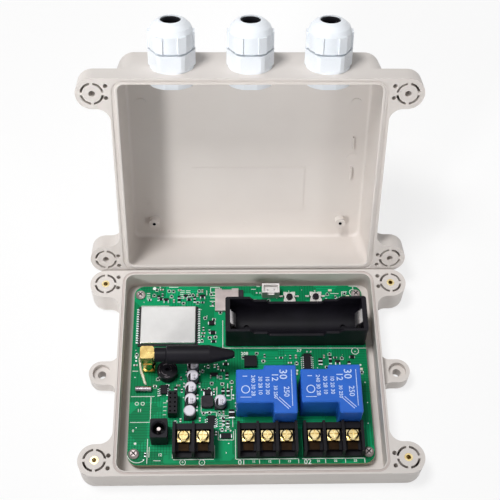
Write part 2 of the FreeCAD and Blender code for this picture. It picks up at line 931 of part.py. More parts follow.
def make_gland_bodies():
    for index, x in enumerate(gland_places(), start=1):
        stub_end = gland_face + size.gland_stub_length
        flange = hexagon(x, gland_shoulder, gland_height, size.gland_hex_width, size.gland_hex_height, "y")
        corner_radius = size.gland_hex_width * size.hex_corner_share
        turned = cylinder(x, gland_shoulder, gland_height, corner_radius, size.gland_hex_height, "y")
        stub = cylinder(x, gland_face, gland_height, size.gland_thread_radius, size.gland_stub_length, "y")
        neck_start = gland_shoulder - size.gland_neck_length
        neck = cylinder(x, neck_start, gland_height, size.gland_neck_radius, size.gland_neck_length, "y")
        solid = fuse(common(flange, turned), stub, neck)
        bore = cylinder(x, neck_start, gland_height, size.gland_bore_radius, stub_end - neck_start, "y")
        keep(swing_open(cut(solid, bore)), f"gland_body_{index}")


def make_gland_washers():
    washers = []
    thickness = size.gland_washer_thickness
    hole_radius = size.gland_thread_radius + size.gland_hole_clearance
    for x in gland_places():
        disc = cylinder(x, gland_face, gland_height, size.gland_washer_radius, thickness, "y")
        hole = cylinder(x, gland_face, gland_height, hole_radius, thickness, "y")
        washers.append(cut(disc, hole))
    keep(swing_open(group(*washers)), "gland_washers")


def make_gland_lock_nuts():
    nuts = []
    for x in gland_places():
        inner_face = size.wall - rear
        nut = hexagon(x, inner_face, gland_height, size.lock_nut_width, size.lock_nut_height, "y")
        radius = size.lock_nut_width * size.lock_nut_corner_share
        nut = common(nut, cylinder(x, inner_face, gland_height, radius, size.lock_nut_height, "y"))
        hole = size.gland_thread_radius + size.insert_clearance
        nuts.append(cut(nut, cylinder(x, inner_face, gland_height, hole, size.lock_nut_height, "y")))
    keep(swing_open(group(*nuts)), "gland_lock_nuts")


def make_cable_seals():
    seals = []
    for x in gland_places():
        start = gland_shoulder - size.gland_neck_length - size.cable_seal_rise
        outer = size.gland_bore_radius - size.gland_running_fit
        ring = cylinder(x, start, gland_height, outer, size.cable_seal_length, "y")
        inner = cylinder(x, start, gland_height, outer - size.cable_seal_wall, size.cable_seal_length, "y")
        seals.append(cut(ring, inner))
    keep(swing_open(group(*seals)), "gland_cable_seals")


def make_gland_cap_nut(index, x):
    # Revolved about its own axis, then turned to lie along the gland
    body = new_body()
    profile = sketch_on(body, "XZ_Plane")
    bore = size.gland_neck_radius + size.gland_running_fit
    collar = size.gland_nut_collar
    top = collar + size.gland_dome_height
    roof = top - size.gland_wall
    draw_outline(profile, [
        (bore, 0),
        (size.gland_nut_radius, 0),
        (size.gland_nut_radius, collar),
        (size.gland_nut_radius - size.gland_dome_low_inset,
         collar + size.gland_dome_height * size.gland_dome_low_share),
        (size.gland_nut_radius - size.gland_dome_high_inset, top - size.gland_dome_edge),
        (size.gland_nut_radius - size.gland_dome_top_inset, top),
        (size.gland_mouth_radius, top),
        (size.gland_mouth_radius, roof),
        (bore, collar),
    ])
    revolve(body, profile)
    tab = sketch_on(body, "XY_Plane")
    reach = size.gland_nut_radius + size.gland_tab_height
    middle = reach - size.gland_tab_height
    draw_rectangle(tab, middle, 0, 2 * size.gland_tab_height, size.gland_tab_width)
    raised = pad(body, tab, collar)
    polar(body, raised, tab, size.gland_tab_count)
    turn = FreeCAD.Rotation(FreeCAD.Vector(1, 0, 0), 90)
    start = gland_shoulder - size.gland_nut_gap
    seat = FreeCAD.Placement(FreeCAD.Vector(number(x), number(start), number(gland_height)), turn)
    body.Placement = open_pose().multiply(seat)
    keep(body, f"gland_cap_nut_{index}")


def make_gland_cap_nuts():
    for index, x in enumerate(gland_places(), start=1):
        make_gland_cap_nut(index, x)


# Circuit board and its screws

def make_circuit_board():
    body = new_body()
    outline = sketch_on(body, "XY_Plane", board_bottom)
    draw_rectangle(outline, 0, size.board_offset, board_width, board_depth)
    pad(body, outline, size.board_thickness)
    fillet(body, size.board_corner_radius, upright)
    holes = sketch_on(body, "XY_Plane", board_top)
    for x, y in board_screw_places:
        draw_circle(holes, x, y, size.board_screw_radius + size.screw_clearance)
    pocket(body, holes, size.board_thickness)
    keep(body, "circuit_board")


def make_board_screws():
    screws = []
    for x, y in board_screw_places:
        shank_bottom = board_top - size.board_screw_length
        radius = size.board_screw_radius - size.insert_clearance
        shank = cylinder(x, y, shank_bottom, radius, size.board_screw_length)
        low = size.board_screw_head_height / 2
        head = cylinder(x, y, board_top, size.board_screw_head_radius, low)
        crown = size.board_screw_head_radius * size.board_screw_crown_share
        dome = cone(x, y, board_top + low, size.board_screw_head_radius, crown, low)
        screws.append(fuse(shank, head, dome))
    keep(group(*screws), "board_screws")


# Radio module: castellated board under a shield can

def make_radio_module():
    body = new_body()
    x = size.module_x
    y = size.module_y
    outline = sketch_on(body, "XY_Plane", board_top)
    draw_rectangle(outline, x, y, size.module_width, size.module_depth)
    pad(body, outline, size.module_thickness)
    run = size.module_notch_pitch * (size.module_notch_count - 1)
    for edge in (-1, 1):
        notch = sketch_on(body, "XY_Plane", board_top + size.module_thickness)
        notch_x = x + edge * size.module_width / 2
        notch_width = 2 * size.module_notch_radius
        draw_rectangle(notch, notch_x, y - run / 2, notch_width, notch_width)
        cutter = pocket(body, notch, size.module_thickness)
        row(body, cutter, notch, "V_Axis", run, size.module_notch_count)
    keep(body, "radio_module_board")

    bottom = board_top + size.module_thickness
    can = box(x, y, bottom, size.can_width, size.can_depth, size.can_height)
    top_edges = level_at(bottom + size.can_height)
    can = rounded(can, size.can_edge_radius, lambda edge: upright(edge) or top_edges(edge))
    keep(can, "radio_shield_can")


def make_card_socket():
    x = size.holder_x - size.holder_length / 2 + size.card_socket_offset
    y = size.card_socket_y
    frame = box(x, y, board_top, size.card_socket_width, size.card_socket_depth, size.card_socket_height)
    lip = (size.card_socket_height - size.card_slot_height) / 2
    slot_y = y + (size.card_socket_depth - size.card_slot_depth) / 2
    slot = box(x, slot_y, board_top + lip, size.card_slot_width, size.card_slot_depth, size.card_slot_height)
    mouth_y = y + size.card_socket_depth / 2
    thumb = cylinder(x, mouth_y, board_top + lip, size.card_thumb_radius, size.card_socket_height)
    keep(cut(frame, slot, thumb), "card_socket")


# Cell holder: a cradle with stepped side walls and a leaf contact at each end

def make_cell_holder():
    body = new_body()
    x = size.holder_x
    y = size.holder_y
    outline = sketch_on(body, "XY_Plane", board_top)
    draw_rectangle(outline, x, y, size.holder_length, size.holder_width)
    pad(body, outline, size.holder_height)
    fillet(body, size.holder_wall, upright)
    inner_length = size.holder_length - 2 * size.holder_end_wall
    radius = size.holder_width / 2 - size.holder_wall
    centre = board_top + size.holder_floor + radius
    channel = sketch_on(body, "YZ_Plane", x)
    draw_circle(channel, y, centre, radius)
    pocket_across(body, channel, inner_length)
    top = board_top + size.holder_height
    mouth = draw_rectangle(sketch_on(body, "XY_Plane", top), x, y, inner_length, 2 * radius)
    pocket(body, mouth, top - centre)

    steps = sketch_on(body, "XZ_Plane", -y)
    levels = [
        (-size.holder_step_length / 2 - size.holder_step_slope, size.holder_height + size.holder_wall),
        (-size.holder_step_length / 2, size.holder_step_height),
        (-size.holder_middle_length / 2 - size.holder_wall, size.holder_step_height),
        (-size.holder_middle_length / 2, size.holder_middle_height),
    ]
    points = levels + [(-along, height) for along, height in reversed(levels)]
    draw_outline(steps, [(x + along, board_top + height) for along, height in points])
    pocket_across(body, steps, size.holder_width + 2 * size.holder_wall)
    holes = sketch_on(body, "XY_Plane", top)
    for turn in (-1, 1):
        draw_circle(holes, x + turn * size.holder_hole_spacing / 2, y, size.holder_hole_radius)
    pocket(body, holes, size.holder_height)
    keep(body, "battery_holder")


def make_battery_contacts():
    leaves = []
    radius = size.contact_height / 2
    bottom = board_top + size.holder_floor + size.contact_lift
    width = size.contact_width
    for turn in (-1, 1):
        wall_x = size.holder_x + turn * (size.holder_length / 2 - size.holder_end_wall)
        plate_x = wall_x - turn * size.contact_thickness / 2
        plate = box(plate_x, size.holder_y, bottom, size.contact_thickness, width, size.contact_height)
        bow_x = wall_x - turn * (size.contact_bow - radius)
        middle = bottom + size.contact_height / 2
        y = size.holder_y - width / 2
        outer = cylinder(bow_x, y, middle, radius, width, "y")
        inner = cylinder(bow_x, y, middle, radius - size.contact_thickness, width, "y")
        keep_x = wall_x - turn * size.contact_bow / 2
        window = box(keep_x, size.holder_y, bottom, size.contact_bow, width, size.contact_height)
        leaves.append(fuse(plate, common(cut(outer, inner), window)))
    keep(group(*leaves), "battery_contacts")


# Relays: moulded cases with a stepped outline

def make_relay_case(index, left):
    body = new_body()
    right = left + size.relay_length
    front = size.relay_front
    back = front + size.relay_width
    leg = right - size.relay_leg_width
    shoulder = right - size.relay_rear_length
    outline = draw_outline(sketch_on(body, "XY_Plane", board_top), [
        (left, front + size.relay_front_step),
        (leg, front + size.relay_front_step),
        (leg, front),
        (right, front),
        (right, back),
        (shoulder, back),
        (shoulder, back - size.relay_rear_step),
        (left, back - size.relay_rear_step),
    ])
    pad(body, outline, size.relay_height)
    fillet(body, size.relay_corner_radius, upright)
    chamfer(body, size.relay_top_edge, level_at(board_top + size.relay_height))
    keep(body, f"relay_case_{index}")


# Screw terminals: a barrier block, contact bars, clamp plates and a screw in each pole

screw_y = size.terminal_front + size.terminal_screw_setback
bar_bottom = board_top + size.terminal_floor
plate_bottom = bar_bottom + size.terminal_bar_thickness + size.terminal_plate_lift
head_bottom = plate_bottom + size.terminal_plate_thickness


def pole_places(centre, poles):
    return [centre + (index - (poles - 1) / 2) * size.terminal_pitch for index in range(poles)]


def make_terminal_block(label, centre, poles):
    length = poles * size.terminal_pitch + size.terminal_barrier
    middle_y = size.terminal_front + size.terminal_depth / 2
    block = box(centre, middle_y, board_top, length, size.terminal_depth, size.terminal_height)
    tools = []
    well = size.terminal_pitch - size.terminal_barrier
    well_depth = size.terminal_depth - size.terminal_back
    well_height = size.terminal_height - size.terminal_floor
    well_y = size.terminal_front + well_depth / 2
    back_z = board_top + size.terminal_back_height
    back_y = size.terminal_front + size.terminal_depth - size.terminal_back / 2
    back_cut = size.terminal_height - size.terminal_back_height
    lip_y = size.terminal_front + size.terminal_lip_depth / 2
    lip_z = board_top + size.terminal_lip_height
    lip_cut = size.terminal_floor - size.terminal_lip_height
    for x in pole_places(centre, poles):
        tools.append(box(x, well_y, bar_bottom, well, well_depth, well_height))
        tools.append(box(x, back_y, back_z, well, size.terminal_back, back_cut))
        tools.append(box(x, lip_y, lip_z, well, size.terminal_lip_depth, lip_cut))
        hole = size.terminal_screw_radius + size.terminal_running_fit
        bottom = head_bottom - size.terminal_screw_length - size.screw_clearance
        tools.append(cylinder(x, screw_y, bottom, hole, bar_bottom - bottom))
    keep(cut(block, *tools), f"{label}_terminal_block")


def make_terminal_metal(label, centre, poles):
    bars = []
    plates = []
    hole = size.terminal_screw_radius + size.terminal_running_fit
    for x in pole_places(centre, poles):
        bar_y = size.terminal_front + size.terminal_lip_depth + size.terminal_bar_depth / 2
        thickness = size.terminal_bar_thickness
        bar = box(x, bar_y, bar_bottom, size.terminal_bar_width, size.terminal_bar_depth, thickness)
        bars.append(cut(bar, cylinder(x, screw_y, bar_bottom, hole, size.terminal_bar_thickness)))
        width = size.terminal_plate_width
        depth = size.terminal_plate_depth
        plate = box(x, screw_y, plate_bottom, width, depth, size.terminal_plate_thickness)
        foot_y = screw_y + depth / 2 - size.terminal_plate_thickness / 2
        foot_z = bar_bottom + size.terminal_bar_thickness
        foot = box(x, foot_y, foot_z, width, size.terminal_plate_thickness, size.terminal_plate_lift)
        plate_hole = cylinder(x, screw_y, plate_bottom, hole, size.terminal_plate_thickness)
        plates.append(cut(fuse(plate, foot), plate_hole))
    keep(group(*bars), f"{label}_contact_bars")
    keep(group(*plates), f"{label}_clamp_plates")


def make_terminal_screw(index, x):
    length = size.terminal_screw_length
    shank = cylinder(x, screw_y, head_bottom - length, size.terminal_screw_radius, length)
    lift = size.terminal_head_lift
    rim_height = size.terminal_rim_height
    head = cylinder(x, screw_y, head_bottom + lift, size.terminal_head_radius, rim_height)
    crown_height = size.terminal_head_height - rim_height
    crown_z = head_bottom + lift + rim_height
    crown = cone(x, screw_y, crown_z, size.terminal_head_radius, size.terminal_crown_radius, crown_height)
    collar = cylinder(x, screw_y, head_bottom, size.terminal_screw_radius, lift)
    slot_z = crown_z + crown_height - size.terminal_slot_depth
    width = size.terminal_slot_width
    reach = 2 * size.terminal_crown_radius
    slot_1 = box(x, screw_y, slot_z, reach, width, size.terminal_slot_depth)
    slot_2 = box(x, screw_y, slot_z, width, reach, size.terminal_slot_depth)
    keep(cut(fuse(shank, collar, head, crown), slot_1, slot_2), f"terminal_screw_{index}")


def make_terminals():
    blocks = [
        ("power", size.power_terminal_x, 2),
        ("output_1", size.output_terminal_1_x, 3),
        ("output_2", size.output_terminal_2_x, 3),
    ]
    index = 0
    for label, centre, poles in blocks:
        make_terminal_block(label, centre, poles)
        make_terminal_metal(label, centre, poles)
        for x in pole_places(centre, poles):
            index += 1
            make_terminal_screw(index, x)


# Power jack, standing upright

def make_power_jack():
    x = size.jack_x
    y = size.jack_y
    housing = box(x, y, board_top, size.jack_width, size.jack_depth, size.jack_height)
    top = board_top + size.jack_height
    floor = top - size.jack_bore_depth
    bore = cylinder(x, y, floor, size.jack_bore_radius, size.jack_bore_depth)
    mouth_radius = size.jack_bore_radius + size.jack_edge
    mouth = cone(x, y, top - size.jack_edge, size.jack_bore_radius, mouth_radius, size.jack_edge)
    keep(cut(rounded(housing, size.jack_edge, upright), bore, mouth), "power_jack_body")
    keep(cylinder(x, y, floor, size.jack_pin_radius, size.jack_pin_length), "power_jack_pin")


# Antenna: board socket, coupling nut, elbow and whip

def make_antenna_socket():
    x = size.antenna_x
    y = size.antenna_y
    foot = box(x, y, board_top, size.socket_base_width, size.socket_base_width, size.socket_base_height)
    barrel = cylinder(x, y, board_top, size.socket_radius, size.socket_height)
    keep(fuse(foot, barrel), "antenna_socket")


def make_antenna():
    x = size.antenna_x
    y = size.antenna_y
    nut_top = board_top + size.socket_height + size.antenna_nut_clearance
    nut_bottom = nut_top - size.antenna_nut_height
    nut = hexagon(x, y, nut_bottom, size.antenna_nut_width, size.antenna_nut_height)
    bore_radius = size.socket_radius + size.antenna_nut_clearance
    bore = cylinder(x, y, nut_bottom, bore_radius, size.antenna_nut_height)
    keep(cut(nut, bore), "antenna_nut")

    width = size.elbow_width
    elbow = rounded_box(x, y, nut_top, width, width, size.elbow_height, size.elbow_corner)
    height = board_top + size.antenna_axis_height
    arm = cylinder(x, y, height, size.elbow_arm_radius, size.whip_start + size.whip_neck_length / 2, "x")
    keep(fuse(elbow, arm), "antenna_elbow")

    body = new_body()
    profile = sketch_on(body, "XZ_Plane")
    straight = size.whip_neck_length + size.whip_straight_length
    sleeve = size.elbow_arm_radius + size.insert_clearance
    sleeve_depth = size.whip_neck_length / 2
    draw_outline(profile, [
        (sleeve, 0),
        (size.whip_neck_radius, 0),
        (size.whip_neck_radius, size.whip_neck_length - size.whip_shoulder),
        (size.whip_radius, size.whip_neck_length),
        (size.whip_radius, straight),
        (size.whip_tip_radius, size.whip_length - size.whip_tip_edge),
        (size.whip_tip_radius - size.whip_tip_edge, size.whip_length),
        (0, size.whip_length),
        (0, sleeve_depth),
        (sleeve, sleeve_depth),
    ])
    revolve(body, profile)
    start = FreeCAD.Vector(number(x + size.whip_start), number(y), number(height))
    body.Placement = FreeCAD.Placement(start, FreeCAD.Rotation(FreeCAD.Vector(0, 1, 0), 90))
    keep(body, "antenna_whip")


# Push buttons: frame with four legs, and a plunger that travels

def make_switch(index, x):
    y = size.switch_y
    top = board_top + size.switch_height
    width = size.switch_width
    frame = rounded_box(x, y, board_top, width, width, size.switch_height, size.switch_corner)
    legs = []
    for i, j in CORNERS:
        leg_x = x + i * (width + size.switch_leg_reach - size.switch_corner) / 2
        leg_y = y + j * size.switch_leg_spacing / 2
        length = size.switch_leg_reach + size.switch_corner
        legs.append(box(leg_x, leg_y, board_top, length, size.switch_leg_width, size.switch_leg_thickness))
    well = size.button_stroke + size.button_flange + size.button_fit
    bore_depth = size.switch_height / 2
    flange_radius = size.button_radius + size.button_flange
    throat = cylinder(x, y, top - bore_depth, size.button_radius + size.button_fit, bore_depth)
    pit = cylinder(x, y, top - bore_depth, flange_radius + size.button_fit, well)
    keep(cut(fuse(frame, *legs), throat, pit), f"switch_frame_{index}")

    flange_z = top - bore_depth + size.button_stroke + size.button_fit / 2
    flange = cylinder(x, y, flange_z, flange_radius, size.button_flange)
    stem_height = top + size.button_rise - flange_z
    stem = cylinder(x, y, flange_z, size.button_radius, stem_height)
    keep(fuse(flange, stem), f"switch_button_{index}")


# Connectors

def make_lead_header():
    x = size.lead_header_x
    y = size.lead_header_y
    wall = size.lead_header_wall
    shell = box(x, y, board_top, size.lead_header_width, size.lead_header_depth, size.lead_header_height)
    floor = board_top + wall
    depth = size.lead_header_height - wall
    hollow = box(x, y, floor, size.lead_header_width - 2 * wall, size.lead_header_depth - 2 * wall, depth)
    notch_y = y - size.lead_header_depth / 2 + wall / 2
    notch_z = floor + depth / 2
    notch = box(x, notch_y, notch_z, size.lead_header_notch, wall, depth / 2)
    keep(cut(shell, hollow, notch), "battery_lead_header")
    pins = []
    for turn in (-1, 1):
        pin_x = x + turn * size.lead_pin_spacing / 2
        pins.append(box(pin_x, y, floor, size.lead_pin_width, size.lead_pin_width, size.lead_pin_height))
    keep(group(*pins), "battery_lead_pins")


def make_expansion_header():
    body = new_body()
    pitch = size.header_pitch
    sketch = sketch_on(body, "XY_Plane", board_top)
    outline = draw_rectangle(sketch, size.header_x, size.header_y, 2 * pitch, size.header_rows * pitch)
    pad(body, outline, size.header_height)
    for turn in (-1, 1):
        hole = sketch_on(body, "XY_Plane", board_top + size.header_height)
        x = size.header_x + turn * pitch / 2
        run = pitch * (size.header_rows - 1)
        draw_rectangle(hole, x, size.header_y - run / 2, size.header_hole, size.header_hole)
        cutter = pocket(body, hole, size.header_hole_depth)
        row(body, cutter, hole, "V_Axis", run, size.header_rows)
    keep(body, "expansion_header")


# Round and block components

def capacitor_base(x, y, width):
    # A square moulding with its two right-hand corners cut off
    body = new_body()
    outline = draw_rectangle(sketch_on(body, "XY_Plane", board_top), x, y, width, width)
    pad(body, outline, size.capacitor_base_height)
    chamfer(body, size.capacitor_corner, lambda edge: upright(edge) and edge.CenterOfMass.x > number(x))
    return body


def make_capacitors():
    cans = []
    bases = []
    can_height = size.capacitor_height - size.capacitor_base_height
    for place_x, place_y in CAPACITOR_PLACES:
        x = place_x * share_across
        y = place_y * share_along
        base_z = board_top + size.capacitor_base_height
        lower = can_height - size.capacitor_edge
        can = cylinder(x, y, base_z, size.capacitor_radius, lower)
        edge_radius = size.capacitor_radius - size.capacitor_edge
        top = cone(x, y, base_z + lower, size.capacitor_radius, edge_radius, size.capacitor_edge)
        cans.append(fuse(can, top))
        width = size.capacitor_base_width
        bases.append(capacitor_base(x, y, width))
    keep(group(*cans), "capacitor_cans")
    keep(group(*bases), "capacitor_bases")


def make_sounder():
    x = size.sounder_x
    y = size.sounder_y
    case = cylinder(x, y, board_top, size.sounder_radius, size.sounder_height)
    vent_bottom = board_top + size.sounder_height - size.sounder_vent_depth
    vent = cylinder(x, y, vent_bottom, size.sounder_hole_radius, size.sounder_vent_depth)
    keep(cut(case, vent), "sounder_case")


def make_inductor():
    x = size.inductor_x
    y = size.inductor_y
    width = size.inductor_width
    block = rounded_box(x, y, board_top, width, width, size.inductor_height, size.inductor_radius)
    keep(block, "power_inductor")


def make_crystal():
    start = size.crystal_x - size.crystal_length / 2
    height = board_top + size.crystal_radius
    can = cylinder(start, size.crystal_y, height, size.crystal_radius, size.crystal_length, "x")
    keep(can, "crystal_can")


def make_chips():
    chips = []
    for place_x, place_y, legs in CHIP_PLACES:
        x = place_x * share_across
        y = place_y * share_along
        length = legs * size.chip_pitch
        case = box(x, y, board_top, size.chip_width, length, size.chip_height)
        feet = []
        reach = size.chip_width + 2 * size.chip_leg_reach
        for index in range(round(legs)):
            leg_y = y + (index - (legs - 1) / 2) * size.chip_pitch
            feet.append(box(x, leg_y, board_top, reach, size.chip_leg_width, size.chip_leg_height))
        chips.append(fuse(case, *feet))
    keep(group(*chips), "logic_chips")


def make_small_components():
    blocks = []
    for place_x, place_y, width, depth, height in SMALL_PLACES:
        x = place_x * share_across
        y = place_y * share_along
        blocks.append(box(x, y, board_top, width * share_across, depth * share_along, height))
    keep(group(*blocks), "small_components")


def make_leds():
    lamps = []
    for place_x, place_y in LED_PLACES:
        x = place_x * share_across
        y = place_y * share_along
        lamps.append(box(x, y, board_top, size.led_width, size.led_depth, size.led_height))
    keep(group(*lamps), "indicator_leds")


make_base_tray()
make_corner_inserts()
make_rim_seal()
make_cover_shell()
make_gland_bodies()
make_gland_washers()
make_gland_lock_nuts()
make_cable_seals()
make_gland_cap_nuts()
make_circuit_board()
make_board_screws()
make_radio_module()
make_card_socket()
make_cell_holder()
make_battery_contacts()
make_relay_case(1, size.relay_1_left)
make_relay_case(2, size.relay_2_left)
make_terminals()
make_power_jack()
make_antenna_socket()
make_antenna()
make_switch(1, size.switch_1_x)
make_switch(2, size.switch_2_x)
make_lead_header()
make_expansion_header()
make_capacitors()
make_sounder()
make_inductor()
make_crystal()
make_chips()
make_small_components()
make_leds()
document.recompute()


# Every object must be sound before anything is written

failed = [item for item in document.Objects if "Invalid" in item.State or "Error" in item.State]
failed += [piece for piece in pieces if piece.Shape.isNull() or not piece.Shape.isValid()]
if failed:
    names = [f"{item.Label} in {[parent.Label for parent in item.InList]}" for item in failed]
    raise RuntimeError(f"unsound objects: {names}")

os.makedirs("parts", exist_ok=True)
for piece in pieces:
    piece.Shape.exportStep(f"parts/{piece.Label}.step")
    print(piece.Label, len(piece.Shape.Solids), round(piece.Shape.Volume, 2))
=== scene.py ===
import json
import math
import random

import bmesh
import bpy
from mathutils import Matrix, Vector


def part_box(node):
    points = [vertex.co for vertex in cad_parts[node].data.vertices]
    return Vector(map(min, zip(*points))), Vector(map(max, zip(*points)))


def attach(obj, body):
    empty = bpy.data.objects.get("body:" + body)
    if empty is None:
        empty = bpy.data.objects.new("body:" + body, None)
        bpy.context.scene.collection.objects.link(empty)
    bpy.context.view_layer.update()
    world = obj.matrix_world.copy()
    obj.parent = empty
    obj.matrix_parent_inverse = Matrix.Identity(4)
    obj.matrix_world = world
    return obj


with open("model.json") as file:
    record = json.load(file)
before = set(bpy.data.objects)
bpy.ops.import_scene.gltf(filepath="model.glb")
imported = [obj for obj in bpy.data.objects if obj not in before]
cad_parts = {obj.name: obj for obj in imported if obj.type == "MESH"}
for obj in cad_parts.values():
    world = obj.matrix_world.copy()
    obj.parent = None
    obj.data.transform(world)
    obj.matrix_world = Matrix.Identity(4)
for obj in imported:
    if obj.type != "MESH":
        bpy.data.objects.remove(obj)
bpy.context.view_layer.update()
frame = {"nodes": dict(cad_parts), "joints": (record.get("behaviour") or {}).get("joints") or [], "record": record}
cadNodes = frame["nodes"]
mm = 0.001
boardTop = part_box("circuit_board")[1].z / mm


def tone(red, green, blue):
    # A screen colour, 0 to 255, as the linear numbers that a shader takes
    parts = [value / 255 for value in (red, green, blue)]
    light = [part / 12.92 if part <= 0.04045 else ((part + 0.055) / 1.055) ** 2.4 for part in parts]
    return light + [1]


# Helpers for node trees
def feed(tree, socket, value):
    # An input takes another node's socket, or a plain value
    if isinstance(value, bpy.types.NodeSocket):
        tree.links.new(value, socket)
    else:
        socket.default_value = value


def fill(tree, node, values):
    for word, value in values.items():
        feed(tree, node.inputs[word], value)
    return node


def addNode(tree, kind, values=None, **settings):
    node = tree.nodes.new(kind)
    for word, value in settings.items():
        setattr(node, word, value)
    return fill(tree, node, values or {})


def reckon(tree, operation, first, second, clamp=False):
    values = {0: first, 1: second}
    node = addNode(tree, "ShaderNodeMath", values, operation=operation, use_clamp=clamp)
    return node.outputs["Value"]


def objectPlace(tree):
    return addNode(tree, "ShaderNodeTexCoord").outputs["Object"]


def upward(tree):
    # How far a face looks up: 1 on a top, 0 on a flank
    normal = addNode(tree, "ShaderNodeNewGeometry").outputs["Normal"]
    return addNode(tree, "ShaderNodeSeparateXYZ", {"Vector": normal}).outputs["Z"]


def cloud(tree, place, scale, detail=3):
    noise = addNode(tree, "ShaderNodeTexNoise", {"Scale": scale, "Detail": detail, "Vector": place})
    return noise.outputs["Fac"]


def between(tree, value, low, high, fromLow=0.3, fromHigh=0.7):
    spread = addNode(tree, "ShaderNodeMapRange", {
        "Value": value, "From Min": fromLow, "From Max": fromHigh, "To Min": low, "To Max": high,
    })
    return spread.outputs["Result"]


def blendColours(tree, share, first, second):
    # Each colour is a socket or a screen colour
    mix = addNode(tree, "ShaderNodeMix", {"Factor": share}, data_type="RGBA")
    ends = [item for item in mix.inputs if item.type == "RGBA"]
    for socket, colour in zip(ends, (first, second)):
        feed(tree, socket, tone(*colour) if isinstance(colour, tuple) else colour)
    return next(item for item in mix.outputs if item.type == "RGBA")


print("finishes")


def startFinish(name):
    material = bpy.data.materials.new(name)
    material.use_nodes = True
    tree = material.node_tree
    return material, tree, tree.nodes["Principled BSDF"]


def roughen(tree, shader, height, strength, depth):
    values = {"Strength": strength, "Distance": depth * mm, "Height": height}
    bump = addNode(tree, "ShaderNodeBump", values)
    tree.links.new(bump.outputs["Normal"], shader.inputs["Normal"])


# Values that plastics or metals share, lengths in millimetres
sharedLook = {
    "grainDetail": 2, "coatRoughness": 0.25, "glowReach": 2, "streakDetail": 5, "dentDepth": 0.05,
}


def mouldedFinish(name, colour, shade, patchScale, grainScale, grain, depth, roughness,
                  shine=0.4, glow=0, coat=0):
    # Moulded plastic or rubber: faint clouds in the colour, fine grain, and patches of polish
    material, tree, shader = startFinish(name)
    place = objectPlace(tree)
    patches = between(tree, cloud(tree, place, patchScale), 0, 1)
    grains = cloud(tree, place, grainScale, sharedLook["grainDetail"])
    fill(tree, shader, {
        "Base Color": blendColours(tree, patches, shade, colour),
        "Roughness": between(tree, grains, *roughness),
        "Specular IOR Level": shine,
        "Coat Weight": coat,
        "Coat Roughness": sharedLook["coatRoughness"],
        "Subsurface Weight": glow,
        "Subsurface Radius": [sharedLook["glowReach"] * mm] * 3,
    })
    roughen(tree, shader, grains, grain, depth)
    return material


def metalFinish(name, colour, shade, streakScale, tarnishScale, roughness, dents, metal=1):
    # Plated or turned metal: streaks, a little tarnish, and small dents
    material, tree, shader = startFinish(name)
    place = objectPlace(tree)
    streaks = cloud(tree, place, streakScale, sharedLook["streakDetail"])
    tarnish = between(tree, cloud(tree, place, tarnishScale), 0, 1)
    fill(tree, shader, {
        "Metallic": metal,
        "Base Color": blendColours(tree, tarnish, shade, colour),
        "Roughness": between(tree, streaks, *roughness),
    })
    roughen(tree, shader, streaks, dents, sharedLook["dentDepth"])
    return material


boardLook = {
    "mask": (3, 130, 80), "copper": (8, 156, 100), "gap": (2, 90, 56), "edge": (196, 190, 150),
    "poolScale": 62, "trackScale": 205, "grainScale": 900, "roughness": (0.32, 0.46), "shine": 0.1,
    # Where pours, fields of tracks, gaps between them and flanks begin and are full
    "pours": (0.42, 0.46), "fields": (0.58, 0.6), "gaps": (0.78, 0.92), "flanks": (0.2, 0.5),
    "gapShare": 0.6, "relief": 0.35, "reliefDepth": 0.08,
}


def boardFinish(name, look):
    # Solder mask over copper: pours, straight tracks across some of them, and a raw laminate edge
    material, tree, shader = startFinish(name)
    place = objectPlace(tree)
    pools = addNode(tree, "ShaderNodeTexVoronoi", {"Scale": look["poolScale"], "Vector": place},
                    feature="F1", distance="CHEBYCHEV")
    splitter = addNode(tree, "ShaderNodeSeparateColor", {"Color": pools.outputs["Color"]})
    height = between(tree, splitter.outputs["Red"], 0, 1, *look["pours"])
    colours = blendColours(tree, height, look["mask"], look["copper"])
    for channel, direction in (("Green", "X"), ("Blue", "Y")):
        field = between(tree, splitter.outputs[channel], 0, 1, *look["fields"])
        wave = addNode(tree, "ShaderNodeTexWave", {"Scale": look["trackScale"], "Vector": place},
                       bands_direction=direction)
        bands = between(tree, wave.outputs["Fac"], 0, 1, *look["gaps"])
        tracks = reckon(tree, "MULTIPLY", field, bands)
        faint = reckon(tree, "MULTIPLY", tracks, look["gapShare"])
        colours = blendColours(tree, faint, colours, look["gap"])
        height = reckon(tree, "SUBTRACT", height, tracks)
    flank = between(tree, upward(tree), 1, 0, *look["flanks"])
    fill(tree, shader, {
        "Base Color": blendColours(tree, flank, colours, look["edge"]),
        "Roughness": between(tree, cloud(tree, place, look["grainScale"]), *look["roughness"]),
        "Specular IOR Level": look["shine"],
    })
    roughen(tree, shader, height, look["relief"], look["reliefDepth"])
    return material


canShadeLook = {
    # The side colour is painted shade; the top colour is the top's own
    "top": (214, 210, 218), "side": (108, 102, 112), "litTopShare": (0.3, 0.8), "metal": 0.12,
    "grainScale": 900, "grain": 0.15, "grainDepth": 0.05, "roughness": (0.45, 0.6),
}


def canShadeFinish(name, look):
    # Capacitor cans: a bright pressed top, and painted shade on the sleeve side, coloured darker as a face looks
    # less far up
    material, tree, shader = startFinish(name)
    litTopShare = between(tree, upward(tree), 0, 1, *look["litTopShare"])
    grain = cloud(tree, objectPlace(tree), look["grainScale"])
    fill(tree, shader, {
        "Metallic": look["metal"],
        "Base Color": blendColours(tree, litTopShare, look["side"], look["top"]),
        "Roughness": between(tree, grain, *look["roughness"]),
    })
    roughen(tree, shader, grain, look["grain"], look["grainDepth"])
    return material


